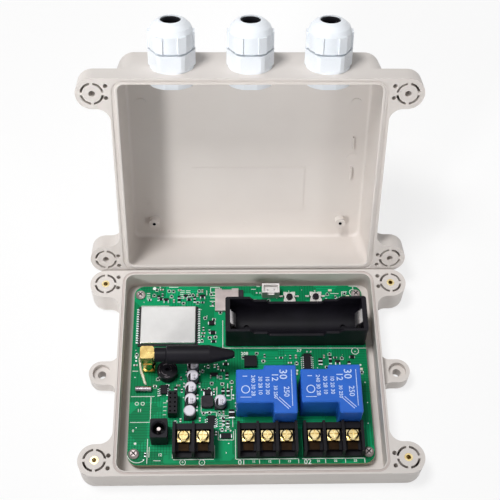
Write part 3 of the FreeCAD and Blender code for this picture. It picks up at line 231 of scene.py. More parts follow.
mouldedLooks = {
    # Colour, shade, patch and grain scales, grain, its depth, roughness; some: shine, glow, coat
    "shell_plastic": ((216, 210, 205), (210, 203, 198), 18, 2600, 0.12, 0.06, (0.4, 0.52)),
    "gland_nylon": (
        (234, 238, 243), (228, 233, 239), 60, 1500, 0.05, 0.04, (0.26, 0.36), 0.4, 0.12),
    "black_rubber": ((24, 23, 28), (15, 15, 19), 90, 3000, 0.3, 0.06, (0.6, 0.8), 0.12),
    "seal_rubber": ((204, 192, 187), (192, 180, 175), 120, 3000, 0.2, 0.05, (0.55, 0.7)),
    "relay_plastic": (
        (42, 104, 203), (34, 94, 191), 70, 2400, 0.15, 0.05, (0.3, 0.42), 0.25, 0, 0.08),
    "label_paper": ((224, 223, 222), (214, 213, 212), 120, 2400, 0.1, 0.04, (0.4, 0.55)),
    "white_plastic": ((236, 232, 230), (224, 219, 216), 90, 2400, 0.1, 0.04, (0.35, 0.5)),
    "lamp_plastic": (
        (236, 236, 214), (216, 214, 190), 400, 3000, 0.05, 0.03, (0.15, 0.25), 0.4, 0.3),
    "black_plastic": ((22, 20, 27), (13, 12, 17), 80, 2200, 0.2, 0.06, (0.38, 0.52), 0.14),
    "ferrite": ((50, 45, 52), (36, 32, 38), 300, 2600, 0.4, 0.08, (0.5, 0.7), 0.2),
    "board_marks": ((240, 243, 238), (226, 232, 226), 500, 4000, 0.2, 0.03, (0.5, 0.65)),
    "relay_print": ((204, 220, 248), (176, 198, 238), 900, 4000, 0.2, 0.03, (0.5, 0.65)),
    "part_ceramic": ((150, 128, 108), (122, 104, 90), 300, 3000, 0.2, 0.04, (0.45, 0.6)),
    "pale_bead": ((236, 232, 214), (222, 214, 190), 300, 900, 0.3, 0.1, (0.18, 0.3), 0.4, 0.3),
}
metalLooks = {
    # Colour, shade, streak scale, tarnish scale, roughness, dents; some: how metallic
    "brass_metal": ((244, 228, 176), (206, 180, 120), 900, 260, (0.2, 0.34), 0.25),
    # The contact bars' brass, coloured near black as painted shade for the shade in the terminals' wells
    "shaded_brass": ((40, 28, 18), (24, 18, 13), 900, 260, (0.35, 0.5), 0.25),
    "gold_metal": ((238, 214, 142), (190, 156, 92), 700, 180, (0.16, 0.28), 0.2),
    "plated_steel": ((226, 224, 224), (196, 192, 194), 1100, 90, (0.26, 0.4), 0.15),
    "socket_metal": ((196, 184, 182), (168, 157, 156), 1200, 140, (0.34, 0.5), 0.15, 0.6),
    "dull_steel": ((158, 150, 154), (112, 104, 110), 700, 300, (0.2, 0.36), 0.2),
    "switch_metal": ((232, 230, 226), (204, 200, 196), 1300, 200, (0.22, 0.34), 0.2),
    "solder": ((226, 228, 230), (190, 194, 198), 1200, 500, (0.2, 0.4), 0.5),
}
finishes = {name: mouldedFinish(name, *look) for name, look in mouldedLooks.items()}
finishes.update({name: metalFinish(name, *look) for name, look in metalLooks.items()})
finishes["board_laminate"] = boardFinish("board_laminate", boardLook)
finishes["can_aluminium"] = canShadeFinish("can_aluminium", canShadeLook)

finishOf = {part["node"]: part["material_slot"] for part in frame["record"]["subparts"]}
# Nodes that look different from the rest of their slot
ownFinish = {
    "gland_nylon": ["gland_washers"],
    "black_plastic": ["switch_frame_1", "switch_frame_2"],
    "socket_metal": ["card_socket", "power_jack_pin", "board_screws"],
    "dull_steel": ["crystal_can"],
    "ferrite": ["radio_module_board"],
    # The contact bars take brass coloured as painted shade
    "shaded_brass": ["power_contact_bars", "output_1_contact_bars", "output_2_contact_bars"],
}
for finish, names in ownFinish.items():
    finishOf.update({name: finish for name in names})
for name, item in cadNodes.items():
    for spot in item.material_slots:
        spot.material = finishes[finishOf[name]]


# Helpers that turn lists of shapes into pieces; lengths are in millimetres
def newObject(name, data):
    item = bpy.data.objects.new(name, data)
    bpy.context.scene.collection.objects.link(item)
    return item


def addPiece(name, mesh, finish, body):
    item = newObject(name, mesh)
    mesh.materials.clear()
    mesh.materials.append(finishes[finish])
    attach(item, body)
    return item


def finishForm(name, form, finish, body, slot=None, pose=None, smooth=False):
    if pose:
        bmesh.ops.transform(form, matrix=pose, verts=form.verts)
    bmesh.ops.recalc_face_normals(form, faces=form.faces)
    mesh = bpy.data.meshes.new(name)
    form.to_mesh(mesh)
    form.free()
    if smooth:
        mesh.shade_smooth()
    return addPiece(name, mesh, finish, body)


def turned(x, y, z, degrees, axis="Z"):
    spin = Matrix.Rotation(math.radians(degrees), 4, axis)
    return Matrix.Translation(Vector((x, y, z)) * mm) @ spin


def addBlock(form, x, y, length, width, bottom, top, turn=0):
    # A block about a middle, turned about that middle
    stretch = Matrix.Diagonal(Vector((length, width, top - bottom, 1 / mm)) * mm)
    bmesh.ops.create_cube(form, size=1, matrix=turned(x, y, (bottom + top) / 2, turn) @ stretch)


def addStroke(form, x1, y1, x2, y2, width, bottom, top):
    run, rise = x2 - x1, y2 - y1
    turn = math.degrees(math.atan2(rise, run))
    length = math.hypot(run, rise) + width
    addBlock(form, (x1 + x2) / 2, (y1 + y2) / 2, length, width, bottom, top, turn)


def joinRows(form, rows, closed):
    # Faces between neighbouring outlines that have the same number of points
    pairs = list(zip(rows, rows[1:])) + ([(rows[-1], rows[0])] if closed else [])
    for first, second in pairs:
        for index in range(len(first)):
            following = (index + 1) % len(first)
            form.faces.new((first[index], second[index], second[following], first[following]))
    if not closed:
        form.faces.new(rows[0])
        form.faces.new(list(reversed(rows[-1])))


def around(x, y, radius, angle, z):
    return Vector((x + radius * math.cos(angle), y + radius * math.sin(angle), z)) * mm


def ringRow(form, x, y, inner, outer, bottom, top, angle):
    corners = ((inner, bottom), (outer, bottom), (outer, top), (inner, top))
    return [form.verts.new(around(x, y, reach, angle, z)) for reach, z in corners]


def addRing(form, x, y, radius, width, bottom, top, count=24, start=0, sweep=360):
    closed = sweep >= 360
    sizes = (radius - width / 2, radius + width / 2, bottom, top)
    rows = []
    for index in range(count if closed else count + 1):
        angle = math.radians(start + sweep * index / count)
        rows.append(ringRow(form, x, y, *sizes, angle))
    joinRows(form, rows, closed)


# Font size for a capital's height
fontShare = 1.35


def addText(form, words, x, y, height, bottom, top, turn=0, weight=0):
    curve = bpy.data.curves.new("words", "FONT")
    curve.body = words
    curve.size = height * mm * fontShare
    curve.align_x = curve.align_y = "CENTER"
    curve.extrude = (top - bottom) / 2 * mm
    curve.offset = weight * mm
    curve.resolution_u = 2
    holder = newObject("words", curve)
    mesh = bpy.data.meshes.new_from_object(holder)
    mesh.transform(turned(x, y, (bottom + top) / 2, turn))
    form.from_mesh(mesh)
    bpy.data.objects.remove(holder)
    bpy.data.curves.remove(curve)
    bpy.data.meshes.remove(mesh)


# Geometry Nodes: one small shape set at every place of a list
def repeatTree(name, makeShape, words):
    tree = bpy.data.node_groups.new(name, "GeometryNodeTree")
    sizes = [(word, "INPUT", "Float") for word in words]
    sockets = [("Places", "INPUT", "Geometry"), *sizes, ("Finish", "INPUT", "Material"),
               ("Pieces", "OUTPUT", "Geometry")]
    for word, way, kind in sockets:
        tree.interface.new_socket(word, in_out=way, socket_type="NodeSocket" + kind)
    start = addNode(tree, "NodeGroupInput")
    turn = addNode(tree, "GeometryNodeInputNamedAttribute", {"Name": "turn"},
                   data_type="FLOAT_VECTOR")
    spread = addNode(tree, "GeometryNodeInstanceOnPoints", {
        "Points": start.outputs["Places"], "Instance": makeShape(tree, start),
        "Rotation": turn.outputs["Attribute"],
    })
    solid = addNode(tree, "GeometryNodeRealizeInstances", {"Geometry": spread.outputs["Instances"]})
    paint = addNode(tree, "GeometryNodeSetMaterial", {
        "Geometry": solid.outputs["Geometry"], "Material": start.outputs["Finish"],
    })
    addNode(tree, "NodeGroupOutput", {"Pieces": paint.outputs["Geometry"]})
    return tree


def sizeVector(tree, start, rules):
    # Each axis takes a named size, a share of one as (name, share), or nothing
    vector = addNode(tree, "ShaderNodeCombineXYZ")
    for axis, rule in zip("XYZ", rules):
        if rule:
            word, share = (rule, 1) if isinstance(rule, str) else rule
            feed(tree, vector.inputs[axis], reckon(tree, "MULTIPLY", start.outputs[word], share))
    return vector.outputs["Vector"]


def shiftedBlock(tree, start, sizes, shift):
    block = addNode(tree, "GeometryNodeMeshCube", {"Size": sizeVector(tree, start, sizes)})
    moved = addNode(tree, "GeometryNodeTransform", {
        "Geometry": block.outputs["Mesh"], "Translation": sizeVector(tree, start, shift),
    })
    return moved.outputs["Geometry"]


def joined(tree, shapes):
    union = addNode(tree, "GeometryNodeJoinGeometry")
    for shape in shapes:
        tree.links.new(shape, union.inputs["Geometry"])
    return union.outputs["Geometry"]


def repeatPiece(name, tree, places, sizes, finish, body, slot=None, pose=None):
    # Places are (x, y, z, turn in degrees); a pose also smooths; the result is a plain mesh
    mesh = bpy.data.meshes.new(name + "_places")
    mesh.from_pydata([Vector(place[:3]) * mm for place in places], [], [])
    turns = mesh.attributes.new("turn", "FLOAT_VECTOR", "POINT")
    for index, place in enumerate(places):
        turns.data[index].vector = (0, 0, math.radians(place[3]))
    holder = newObject(name + "_places", mesh)
    modifier = holder.modifiers.new("repeat", "NODES")
    modifier.node_group = tree
    for item in tree.interface.items_tree:
        if item.name in sizes:
            modifier[item.identifier] = sizes[item.name] * (1 if item.name == "Turns" else mm)
        if item.name == "Finish":
            modifier[item.identifier] = finishes[finish]
    ready = holder.evaluated_get(bpy.context.evaluated_depsgraph_get())
    result = bpy.data.meshes.new_from_object(ready)
    holder.modifiers.remove(modifier)
    bpy.data.objects.remove(holder)
    result.name = name
    if pose:
        result.transform(pose)
        result.shade_smooth()
    return addPiece(name, result, finish, body)


# White marks printed on the board
print("board marks")
marks = {
    "thickness": 0.05, "line": 0.34, "weight": 0.05,
    "strokes": [
        # Cell holder outline
        (-15, 15.6, 66.2, 15), (-15, 15.6, -15, 33),
        # Power terminal outline
        (-42, -38.5, -42, -48.6), (-41.4, -49.5, -20.2, -49.5), (-19.6, -48.6, -19.6, -42),
        # Output label frames
        (-8.4, -33, -8.4, -49.4), (-8, -49.6, 25, -49.6), (4.2, -49.6, 4.2, -52),
        (14.8, -49.6, 14.8, -52), (25, -49.6, 25, -52), (27, -49.6, 60.2, -49.6),
        (39.3, -49.6, 39.3, -52), (49.9, -49.6, 49.9, -52), (60.2, -49.6, 60.2, -52),
        # Left field and its frame
        (-65.2, -13.4, -52.6, -13.4), (-54.4, -13.4, -54.4, -28.4), (-54.4, -28.4, -65, -28.4),
        (-55.4, -38, -55.4, -51.4), (-54.4, -42.4, -54.4, -48), (-51.8, -50, -48.4, -50),
        # Rear left rows
        (-61.6, 42.6, -46, 42.6), (-24.2, 52.6, -24.2, 49.8), (-22, 54.8, -16.8, 54.8),
        (-22, 54.8, -22, 51.6), (-16.8, 54.8, -16.8, 51.6), (-22, 51.6, -16.8, 51.6),
        (-22, 49.4, -16.6, 49.4), (-22, 47.8, -16.6, 47.8), (-16.6, 49.4, -16.6, 47.8),
        (-22.2, 45.6, -19.4, 45.6), (-18.4, 45.8, -14.4, 45.8), (-22.2, 42.4, -20, 42.4),
        (-46, 55, -41, 55),
        # Rear right rows
        (54.4, 51.4, 54.4, 46.2), (54.4, 51.4, 57.4, 51.4), (48, 50.4, 52.4, 50.2),
        (59, 55.2, 63.6, 55), (61.2, 54.4, 61.2, 52.4), (4.2, 53.4, 1.8, 53.4),
        (6.6, 55.2, 5, 55.2), (4.4, 46.6, 2.4, 46.6), (4.4, 43.8, 2.4, 43.8),
        # Around the antenna
        (-65, 1.8, -62.2, 1.8), (-64.2, 10.6, -63.4, 11.2), (-29, 9, -23.6, 9),
        (-46.6, 7.6, -41.6, 7.6),
        # Middle
        (-12.4, -6.2, -12.4, -9.6), (-26.6, -22.8, -18.6, -22.8), (-18.6, -22.8, -18.6, -31.6),
        (-26.6, -31.6, -18.6, -31.6), (-17.6, -25, -9.8, -25), (-9.8, -25, -9.8, -31.4),
        (-17.6, -38.8, -9.4, -38.8), (-9.4, -38.8, -9.4, -34), (-17.6, -38.8, -17.6, -34),
        (-26.9, -14.4, -26.9, -22.9), (-26.9, -22.9, -22.8, -23.2), (-18.4, -8.2, -18.4, -15.6),
        (-18.4, -15.6, -10.4, -15.9), (-10.4, -15.9, -10.4, -8.2), (-14.4, -8.2, -14.4, -15.6),
    ],
    "combs": [
        # Rows of ticks: centre x, top y, how many, pitch, length
        (-16, -26.4, 5, 1.55, 2), (-12.5, -26.4, 5, 1.55, 2), (-46.7, -17.2, 4, 2.3, 1.5),
        (-58, 51, 4, 1.2, 1.6), (-38.4, 52.6, 5, 1.2, 2.2), (-35, 52.6, 5, 1.2, 2.2),
    ],
    "rings": [
        (-36.5, -51, 1.5), (-26.3, -51.2, 1.5), (59.6, 13.2, 2), (60.9, 51, 1.9), (-62, -17.6, 0.9),
        (-58.8, -17.6, 0.9),
    ],
    # Centre, radius, points, start and sweep
    "arcs": [(-60.6, -45.6, 5.4, 24, 195, 120)],
    "words": [
        ("+", -36.5, -51, 1.7), ("-", -26.3, -51.2, 1.7), ("-", 59.6, 13.2, 2.3),
        ("01", -5.2, -51.4, 3), ("02", 29.8, -51.4, 3), ("11", 1.2, -51, 1.3),
        ("12", 9.6, -51, 1.3), ("13", 20, -51, 1.3), ("21", 35.6, -51, 1.3), ("22", 44.6, -51, 1.3),
        ("23", 55.2, -51, 1.3), ("1", 23.6, 51.6, 1.5), ("2", 38.8, 51.6, 1.5),
        ("3.7", 28, 13.6, 1.6), ("12", -48.6, -46.8, 1.6), ("11", -60.4, -21.6, 1.8),
        ("208", -2.8, 12, 2), ("7", -51.4, 54.6, 1.4), ("0", -63.4, -33.2, 1.6),
    ],
    "dots": [
        (-54.6, 54.2, 1), (-62, -40.4, 0.7), (47.8, 52, 0.8), (17.4, 4, 0.7), (26.4, 1.4, 0.6),
        (62, 4.6, 0.6), (-13.6, -33.6, 0.5), (-11, -33.6, 0.5),
    ],
    "pinHole": 0.02, "dotPoints": 12,
}


def makeBoardMarks():
    form = bmesh.new()
    line = marks["line"]
    levels = (boardTop, boardTop + marks["thickness"])
    for stroke in marks["strokes"]:
        addStroke(form, *stroke, line, *levels)
    for x, y, count, pitch, length in marks["combs"]:
        for index in range(count):
            addBlock(form, x, y - index * pitch, length + line, line, *levels)
    for x, y, radius in marks["rings"]:
        addRing(form, x, y, radius, line, *levels)
    for x, y, radius, *arc in marks["arcs"]:
        addRing(form, x, y, radius, line, *levels, *arc)
    for x, y, radius in marks["dots"]:
        addRing(form, x, y, radius / 2, radius - marks["pinHole"], *levels, marks["dotPoints"])
    for words, x, y, height in marks["words"]:
        addText(form, words, x, y, height, *levels, weight=marks["weight"])
    finishForm("board_marks", form, "board_marks", "tray")


makeBoardMarks()

# Bare pads and plated holes all over the board
print("pads and holes")
pads = {
    "hole": {"Radius": 0.28, "Height": 0.12}, "holePoints": 10,
    "pad": {"Length": 0.9, "Width": 0.9, "Height": 0.06, "Spacing": 1.9},
    "holes": [
        (-27.4, 40.2), (-24, 36), (-25.8, 27.6), (-63.8, 14.6), (-63.6, -2), (-61.8, -31.4),
        (-50, -28.4), (-38.6, -29.4), (-37, -3.8), (-36.6, -14.2), (-25.2, 4.4), (-18.2, 5.6),
        (-8.8, 9.8), (9.2, 3.2), (14.8, 9.2), (20.2, 10.8), (37.8, 3), (52.2, 11), (63.8, -6),
        (64.2, -18), (63.6, -30), (-13.4, -46), (-12, -40.8), (-57.2, -49.4), (16.4, 47.4),
        (31.2, 52.8), (44.8, 44.4), (-9, 36), (-60.4, 45.2), (-64, 24),
    ],
    "pairs": [
        (-28, 0.2, 90), (-28, -6.8, 90), (-35.2, 0.2, 90), (-36.4, -6.8, 90), (-29, -13.8, 90),
        (-29.2, -20.8, 90), (-13.8, -36.4, 0), (52.2, 47.6, 0), (-9.4, -14, 90), (-63.4, 9, 90),
        (5.8, 51, 0), (33.4, 13, 0), (-8, -18.6, 90), (46.6, 2.8, 0),
    ],
}
upright = ("Length", "Width", "Height")


def blockShape(tree, start):
    return shiftedBlock(tree, start, upright, (None, None, ("Height", 0.5)))


def twinShape(tree, start):
    return joined(tree, [
        shiftedBlock(tree, start, upright, (("Spacing", share), None, ("Height", 0.5)))
        for share in (-0.5, 0.5)
    ])


def eyeletShape(tree, start):
    return addNode(tree, "GeometryNodeMeshCylinder", {
        "Vertices": pads["holePoints"], "Radius": start.outputs["Radius"],
        "Depth": start.outputs["Height"],
    }).outputs["Mesh"]


blockTree = repeatTree("repeat_block", blockShape, upright)
twinTree = repeatTree("repeat_twins", twinShape, upright + ("Spacing",))
eyeletTree = repeatTree("repeat_eyelet", eyeletShape, ("Radius", "Height"))


def makePads():
    holes = [(x, y, boardTop, 0) for x, y in pads["holes"]]
    repeatPiece("plated_holes", eyeletTree, holes, pads["hole"], "solder", "tray")
    pairs = [(x, y, boardTop, turn) for x, y, turn in pads["pairs"]]
    repeatPiece("bare_pads", twinTree, pairs, pads["pad"], "solder", "tray")


makePads()

# Small flat components: silver ends over the blocks that the CAD carries, and smaller ones
print("small components")
components = {
    "cap": 0.5,
    "proud": 0.04,
    "placed": [
        # Centre x, centre y, length, width, height, turn; the blocks of the small components
        (8.8, 41.8, 3.4, 2.6, 1.2, 0), (-23.4, -13.2, 4.6, 2.8, 2, 0),
        (-10.4, -25.4, 3.6, 3, 2.4, 90), (-41, -11, 3.2, 1.6, 0.8, 90),
        (-15, -12.2, 3.2, 1.6, 0.8, 90), (-12.2, -12.2, 3.2, 1.6, 0.8, 90),
        (-20, -2.2, 4.2, 2, 0.9, 0), (-12.8, -2.4, 2.6, 1.6, 0.8, 90),
        (-14.8, -29.4, 2.6, 1.4, 0.7, 90), (-12.6, -30.8, 2.6, 1.4, 0.7, 90),
        (39.6, 5.8, 2.6, 2.2, 1, 90), (45.2, 6.6, 3.4, 1.6, 0.9, 90), (49.2, 5.2, 2.8, 1.6, 0.8, 0),
        (55.6, 3.4, 3.6, 1.6, 1, 90), (-57.2, 46.4, 2, 1.2, 0.6, 0), (-52, 46.8, 2.2, 1.3, 0.7, 90),
        (-47.6, 45.2, 3, 1.5, 0.9, 0), (-40.2, 46, 3, 1.6, 0.9, 90),
        (-36.4, 47.8, 2.6, 1.4, 0.7, 0), (-31.2, 45.8, 2.6, 1.4, 0.7, 90),
        (-26.6, 47.4, 2.9, 1.6, 1, 0),
    ],
    "added": [
        # Smaller ones that only the scene has: centre x, centre y, turn
        (-54.6, 49.4, 90), (-49.8, 49.6, 90), (-44.6, 48.6, 90), (-43.2, 45.6, 90),
        (-37.6, 44.2, 0), (-33.8, 49.4, 90), (-32.2, 49.4, 90), (-29.6, 49.4, 90), (-29.4, 44.6, 0),
        (-26.6, 44.6, 0), (-28.6, 52.2, 90), (-26.8, 52.2, 90), (-25, 34.6, 0), (-22.6, 26, 90),
        (-16.4, 38, 0), (-44.8, -16.4, 0), (-51, -3.4, 90), (-38.2, -3, 90), (-10.2, -5.4, 90),
        (-10.2, -9, 90), (-15.4, -6.4, 0), (-26, -9.8, 0), (-17, -23.4, 90), (-14.8, -23.4, 90),
        (-27.8, -31.8, 0), (-24.6, -34.4, 0), (-34, -30.2, 0), (41.8, 9.8, 90), (43, 3.2, 0),
        (48, 9, 0), (51.8, 8.6, 90), (26, 9.8, 90), (26.2, 5.6, 90), (50.6, 47.6, 90),
        (56, 50.2, 0), (7.6, 45.8, 0), (-20, 33.6, 0),
    ],
    "larger": [
        # Black ones with silver ends: centre x, centre y, length, width, height
        (-21.3, 31.2, 4.2, 2.6, 1.3), (-20.6, 25.1, 3.6, 2.2, 1.2), (-20.2, 19.6, 3, 1.6, 0.9),
        (45.4, 1.4, 3, 1.6, 0.9), (57.6, 9.4, 3.2, 1.8, 1), (-13.4, 5.6, 3.2, 1.6, 0.9),
        (-13.5, -36.7, 6.4, 3, 1), (9.2, 50.4, 3.4, 2, 1), (-50.6, 47, 2.6, 1.6, 0.8),
        (-34.4, 46.6, 2.8, 1.6, 0.9), (59, 46.4, 3.4, 2.4, 1.2), (-54.6, 12.6, 2.6, 1.4, 0.8),
    ],
    "smallBody": {"Length": 1.5, "Width": 0.9, "Height": 0.55},
    "smallEnds": {"Length": 0.42, "Width": 0.96, "Height": 0.59, "Spacing": 1.62},
    "outline": {"Length": 0.2, "Width": 1.7, "Height": 0.04, "Spacing": 1.7},
}
# Chips: middle and how many legs along each side
chips = [(32.2, 4.8, 8), (-47.4, -11.2, 4), (-21.4, -29.2, 4)]
capacitorPlaces = [
    (-31.6, 1.8), (-31.6, -5), (-32.6, -12), (-32.6, -18.9), (-33, -25.8), (-16.4, -19.8),
]
screwPlaces = [(x, y) for x in (-62.5, 62.5) for y in (-46.4, 49.6)]

# Free places for more of them
scatter = {
    "seed": 11, "gap": 0.45, "half": (1, 0.62), "grid": 0.4, "tries": 60,
    # Room kept from the middle of a round part, a chip, a small part, and beyond a larger one
    "roundReach": 3.4, "chipReach": 3.2, "legReach": 0.7, "partReach": 1.8, "largerGap": 0.4,
    "squareChip": (0.4, 5.2, 3.5, 3.3),
    "rows": [
        # First x, first y, how many across and along, and both pitches, of parts that stand in rows
        (-58, 49.6, 6, 1, 2, 0), (-44.4, 49.4, 2, 1, 2, 0), (-38.2, 50.6, 4, 2, 2.1, -3.4),
        (-24.9, 8.4, 3, 1, 2.1, 0), (-10.8, -9.4, 1, 3, 0, 3.4), (40.6, 11.2, 4, 1, 2.2, 0),
        (52, 46.6, 3, 1, 2.1, 0),
    ],
    "areas": [
        # Left, front, right, back and how many
        (-63, 42.6, -20, 54.6, 7), (-28, 15.6, -16, 40, 6), (-28, -3, -9, 9.6, 7),
        (-58, -13, -36, -5, 4), (-53, -34, -36, -26, 4), (-29, -38, -9, -21, 7),
        (-6, -3, 64, 13, 13), (44, 42, 62, 54, 3), (-64, -50, -54, -29, 1), (-24, -14, -9, -3, 4),
        (-65, 4, -60, 15, 2), (2, 40, 20, 47, 3),
    ],
    "fixed": [
        "card_socket", "battery_holder", "battery_lead_header", "switch_frame_1", "switch_frame_2",
        "radio_module_board", "antenna_socket", "sounder_case", "crystal_can", "power_inductor",
        "expansion_header", "power_jack_body", "power_terminal_block", "output_1_terminal_block",
        "output_2_terminal_block", "relay_case_1", "relay_case_2",
    ],
}


def takenBoxes():
    taken = []
    for node in scatter["fixed"]:
        low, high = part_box(node)
        taken.append((low.x / mm, low.y / mm, high.x / mm, high.y / mm))
    wide, near, more = scatter["roundReach"], scatter["partReach"], scatter["largerGap"]
    spots = [(x, y, wide, wide) for x, y in capacitorPlaces + screwPlaces]
    spots += [(x, y, scatter["chipReach"], count * scatter["legReach"]) for x, y, count in chips]
    spots += [scatter["squareChip"]]
    spots += [(row[0], row[1], near, near) for row in components["placed"] + components["added"]]
    spots += [(row[0], row[1], row[2] / 2 + more, row[3] / 2 + more)
              for row in components["larger"]]
    return taken + [(x - across, y - along, x + across, y + along) for x, y, across, along in spots]


def freePlaces():
    chance = random.Random(scatter["seed"])
    taken = takenBoxes()
    gap, grid = scatter["gap"], scatter["grid"]
    places = []

    def settle(x, y, across, along, turn):
        low = (x - across - gap, y - along - gap)
        high = (x + across + gap, y + along + gap)
        clear = all(
            high[0] < box[0] or low[0] > box[2] or high[1] < box[1] or low[1] > box[3]
            for box in taken)
        if clear:
            taken.append((x - across, y - along, x + across, y + along))
            places.append((x, y, turn))
        return clear

    for firstX, firstY, across, along, pitchX, pitchY in scatter["rows"]:
        for i in range(across):
            for j in range(along):
                settle(firstX + i * pitchX, firstY + j * pitchY, *reversed(scatter["half"]), 90)
    for left, front, right, back, count in scatter["areas"]:
        found = 0
        for attempt in range(scatter["tries"] * count):
            turn = chance.choice((0, 90))
            across, along = scatter["half"] if turn == 0 else reversed(scatter["half"])
            x = round(chance.uniform(left + across, right - across) / grid) * grid
            y = round(chance.uniform(front + along, back - along) / grid) * grid
            if found < count and settle(x, y, across, along, turn):
                found += 1
    return places


def makeComponents():
    cap = components["cap"]
    proud = components["proud"]
    ends = bmesh.new()
    for x, y, length, width, height, turn in components["placed"]:
        reach = (length - cap) / 2
        run, rise = reach * math.cos(math.radians(turn)), reach * math.sin(math.radians(turn))
        for side in (-1, 1):
            addBlock(ends, x + side * run, y + side * rise, cap + 2 * proud, width + 2 * proud,
                     boardTop, boardTop + height + proud, turn)
    bodies = bmesh.new()
    for x, y, length, width, height in components["larger"]:
        addBlock(bodies, x, y, length - 2 * cap, width, boardTop, boardTop + height)
        for side in (-1, 1):
            middle = x + side * (length - cap) / 2
            addBlock(ends, middle, y, cap, width * 2 / 3, boardTop, boardTop + height / 3)
    finishForm("component_ends", ends, "solder", "tray")
    finishForm("larger_components", bodies, "black_plastic", "tray")
    places = [(x, y, boardTop, turn) for x, y, turn in components["added"] + freePlaces()]
    dark, body = places[::2] + places[1::4], components["smallBody"]
    repeatPiece("chip_resistors", blockTree, dark, body, "black_plastic", "tray")
    repeatPiece("chip_capacitors", blockTree, places[3::4], body, "part_ceramic", "tray")
    repeatPiece("resistor_ends", twinTree, places, components["smallEnds"], "solder", "tray")
    # Printed lines along both sides of every other small part
    outlines = [(x, y, z, turn + 90) for x, y, z, turn in places[::2]]
    repeatPiece("part_outlines", twinTree, outlines, components["outline"], "board_marks", "tray")


makeComponents()

# Bent legs of the chips
print("chip legs")
legs = {
    "pitch": 1.27, "reach": 2.45, "sizes": {"Foot": 1, "Width": 0.45, "Sheet": 0.2, "Rise": 0.85},
}


def legShape(tree, start):
    flat = ("Foot", "Width", "Sheet")
    return joined(tree, [
        shiftedBlock(tree, start, flat, (("Foot", 0.5), None, ("Sheet", 0.5))),
        shiftedBlock(tree, start, ("Sheet", "Width", "Rise"), (None, None, ("Rise", 0.5))),
        shiftedBlock(tree, start, flat, (("Foot", -0.5), None, ("Rise", 1))),
    ])


def makeChipLegs():
    places = []
    for x, y, count in chips:
        for index in range(count):
            legY = y + (index - (count - 1) / 2) * legs["pitch"]
            places.append((x + legs["reach"], legY, boardTop, 0))
            places.append((x - legs["reach"], legY, boardTop, 180))
    legTree = repeatTree("repeat_leg", legShape, legs["sizes"])
    repeatPiece("chip_legs", legTree, places, legs["sizes"], "solder", "tray", "plated_steel")


makeChipLegs()

# Edge contacts of the radio module
print("radio module")
module = {
    "x": -46, "y": 29.2, "pitch": 1.5, "count": 15, "reach": 17.35, "shift": 0.45,
    "pad": {"Length": 1.5, "Width": 0.8, "Height": 0.35},
}


def makeModuleContacts():
    places = []
    for side in (-1, 1):
        for index in range(module["count"]):
            y = module["y"] + (index - (module["count"] - 1) / 2) * module["pitch"]
            places.append((
                module["x"] + side * module["reach"], y + module["shift"], boardTop, 0))
    repeatPiece("module_contacts", blockTree, places, module["pad"], "solder", "tray")


makeModuleContacts()

# Capacitor tops: plain numbers and the dark segment that marks one side
print("capacitors")
capacitors = {
    "radius": 2.6, "height": 7, "chord": -1.1, "steps": 14, "lip": 0.05, "plain": 4,
    "wordHeight": 1.3,
    # Words, across and along from the middle
    "words": [("10", 0.7, 0.75), ("16", 0.7, -0.75)],
}


def makeCapacitorMarks():
    form = bmesh.new()
    radius = capacitors["radius"]
    reach = math.acos(-capacitors["chord"] / radius)
    steps = capacitors["steps"]
    angles = [math.pi - reach + 2 * reach * step / steps for step in range(steps + 1)]
    bottom = boardTop + capacitors["height"]
    levels = (bottom, bottom + capacitors["lip"])
    for number, (x, y) in enumerate(capacitorPlaces):
        if number == capacitors["plain"]:
            continue
        for words, across, along in capacitors["words"]:
            addText(form, words, x + across, y + along, capacitors["wordHeight"], *levels)
        joinRows(form, [
            [form.verts.new(around(x, y, radius, angle, z)) for angle in angles] for z in levels
        ], closed=False)
    finishForm("capacitor_marks", form, "black_plastic", "tray")


makeCapacitorMarks()

# Print on the relays: plain numbers and lines
print("relay print")
relayPrint = {
    "thickness": 0.05, "height": 20, "lefts": [-8, 26.6], "front": -31.7,
    # Turn and weight of the words
    "style": (-90, 0.045),
    "words": [
        # Words, across and along from the case's corner, height
        ("30", 25, 22, 4.4), ("250", 26.6, 12, 3), ("12", 20.6, 20.4, 3.6),
        ("30 250", 20.8, 11.8, 2), ("10 20 30", 16.6, 15.6, 2.2), ("30 28 10", 12.8, 15.6, 2.2),
        ("240 30 28", 9, 15.6, 2.2), ("1", 4.6, 21, 2.6),
    ],
    "ring": (5, 13.4, 2.1, 0.5),
    "strokes": [
        # Start and end across and along, width
        (29.6, 4, 29.6, 24.4, 0.35), (21.6, 8.2, 27.4, 2.4, 0.4), (22.8, 8.8, 28.4, 3.2, 0.4),
        (2.4, 9, 7.8, 9, 0.35),
    ],
}


def makeRelayPrint():
    form = bmesh.new()
    bottom = boardTop + relayPrint["height"]
    levels = (bottom, bottom + relayPrint["thickness"])
    y = relayPrint["front"]
    for x in relayPrint["lefts"]:
        for words, across, along, height in relayPrint["words"]:
            addText(form, words, x + across, y + along, height, *levels, *relayPrint["style"])
        across, along, radius, width = relayPrint["ring"]
        addRing(form, x + across, y + along, radius, width, *levels)
        for x1, y1, x2, y2, width in relayPrint["strokes"]:
            addStroke(form, x + x1, y + y1, x + x2, y + y2, width, *levels)
    finishForm("relay_print", form, "relay_print", "tray")


makeRelayPrint()

# Push buttons: pressed metal plate over each frame, and its four feet
print("switch plates")
switches = {
    "xs": [23.6, 38.8], "y": 46.2, "width": 7, "height": 3.4, "hole": 1.95, "sheet": 0.25,
    "overlap": 0.06, "steps": 32, "sideCut": 0.2, "cornerCut": 0.05, "footSpacing": 4.7,
    "foot": {"Length": 2.2, "Width": 1, "Height": 0.36},
}


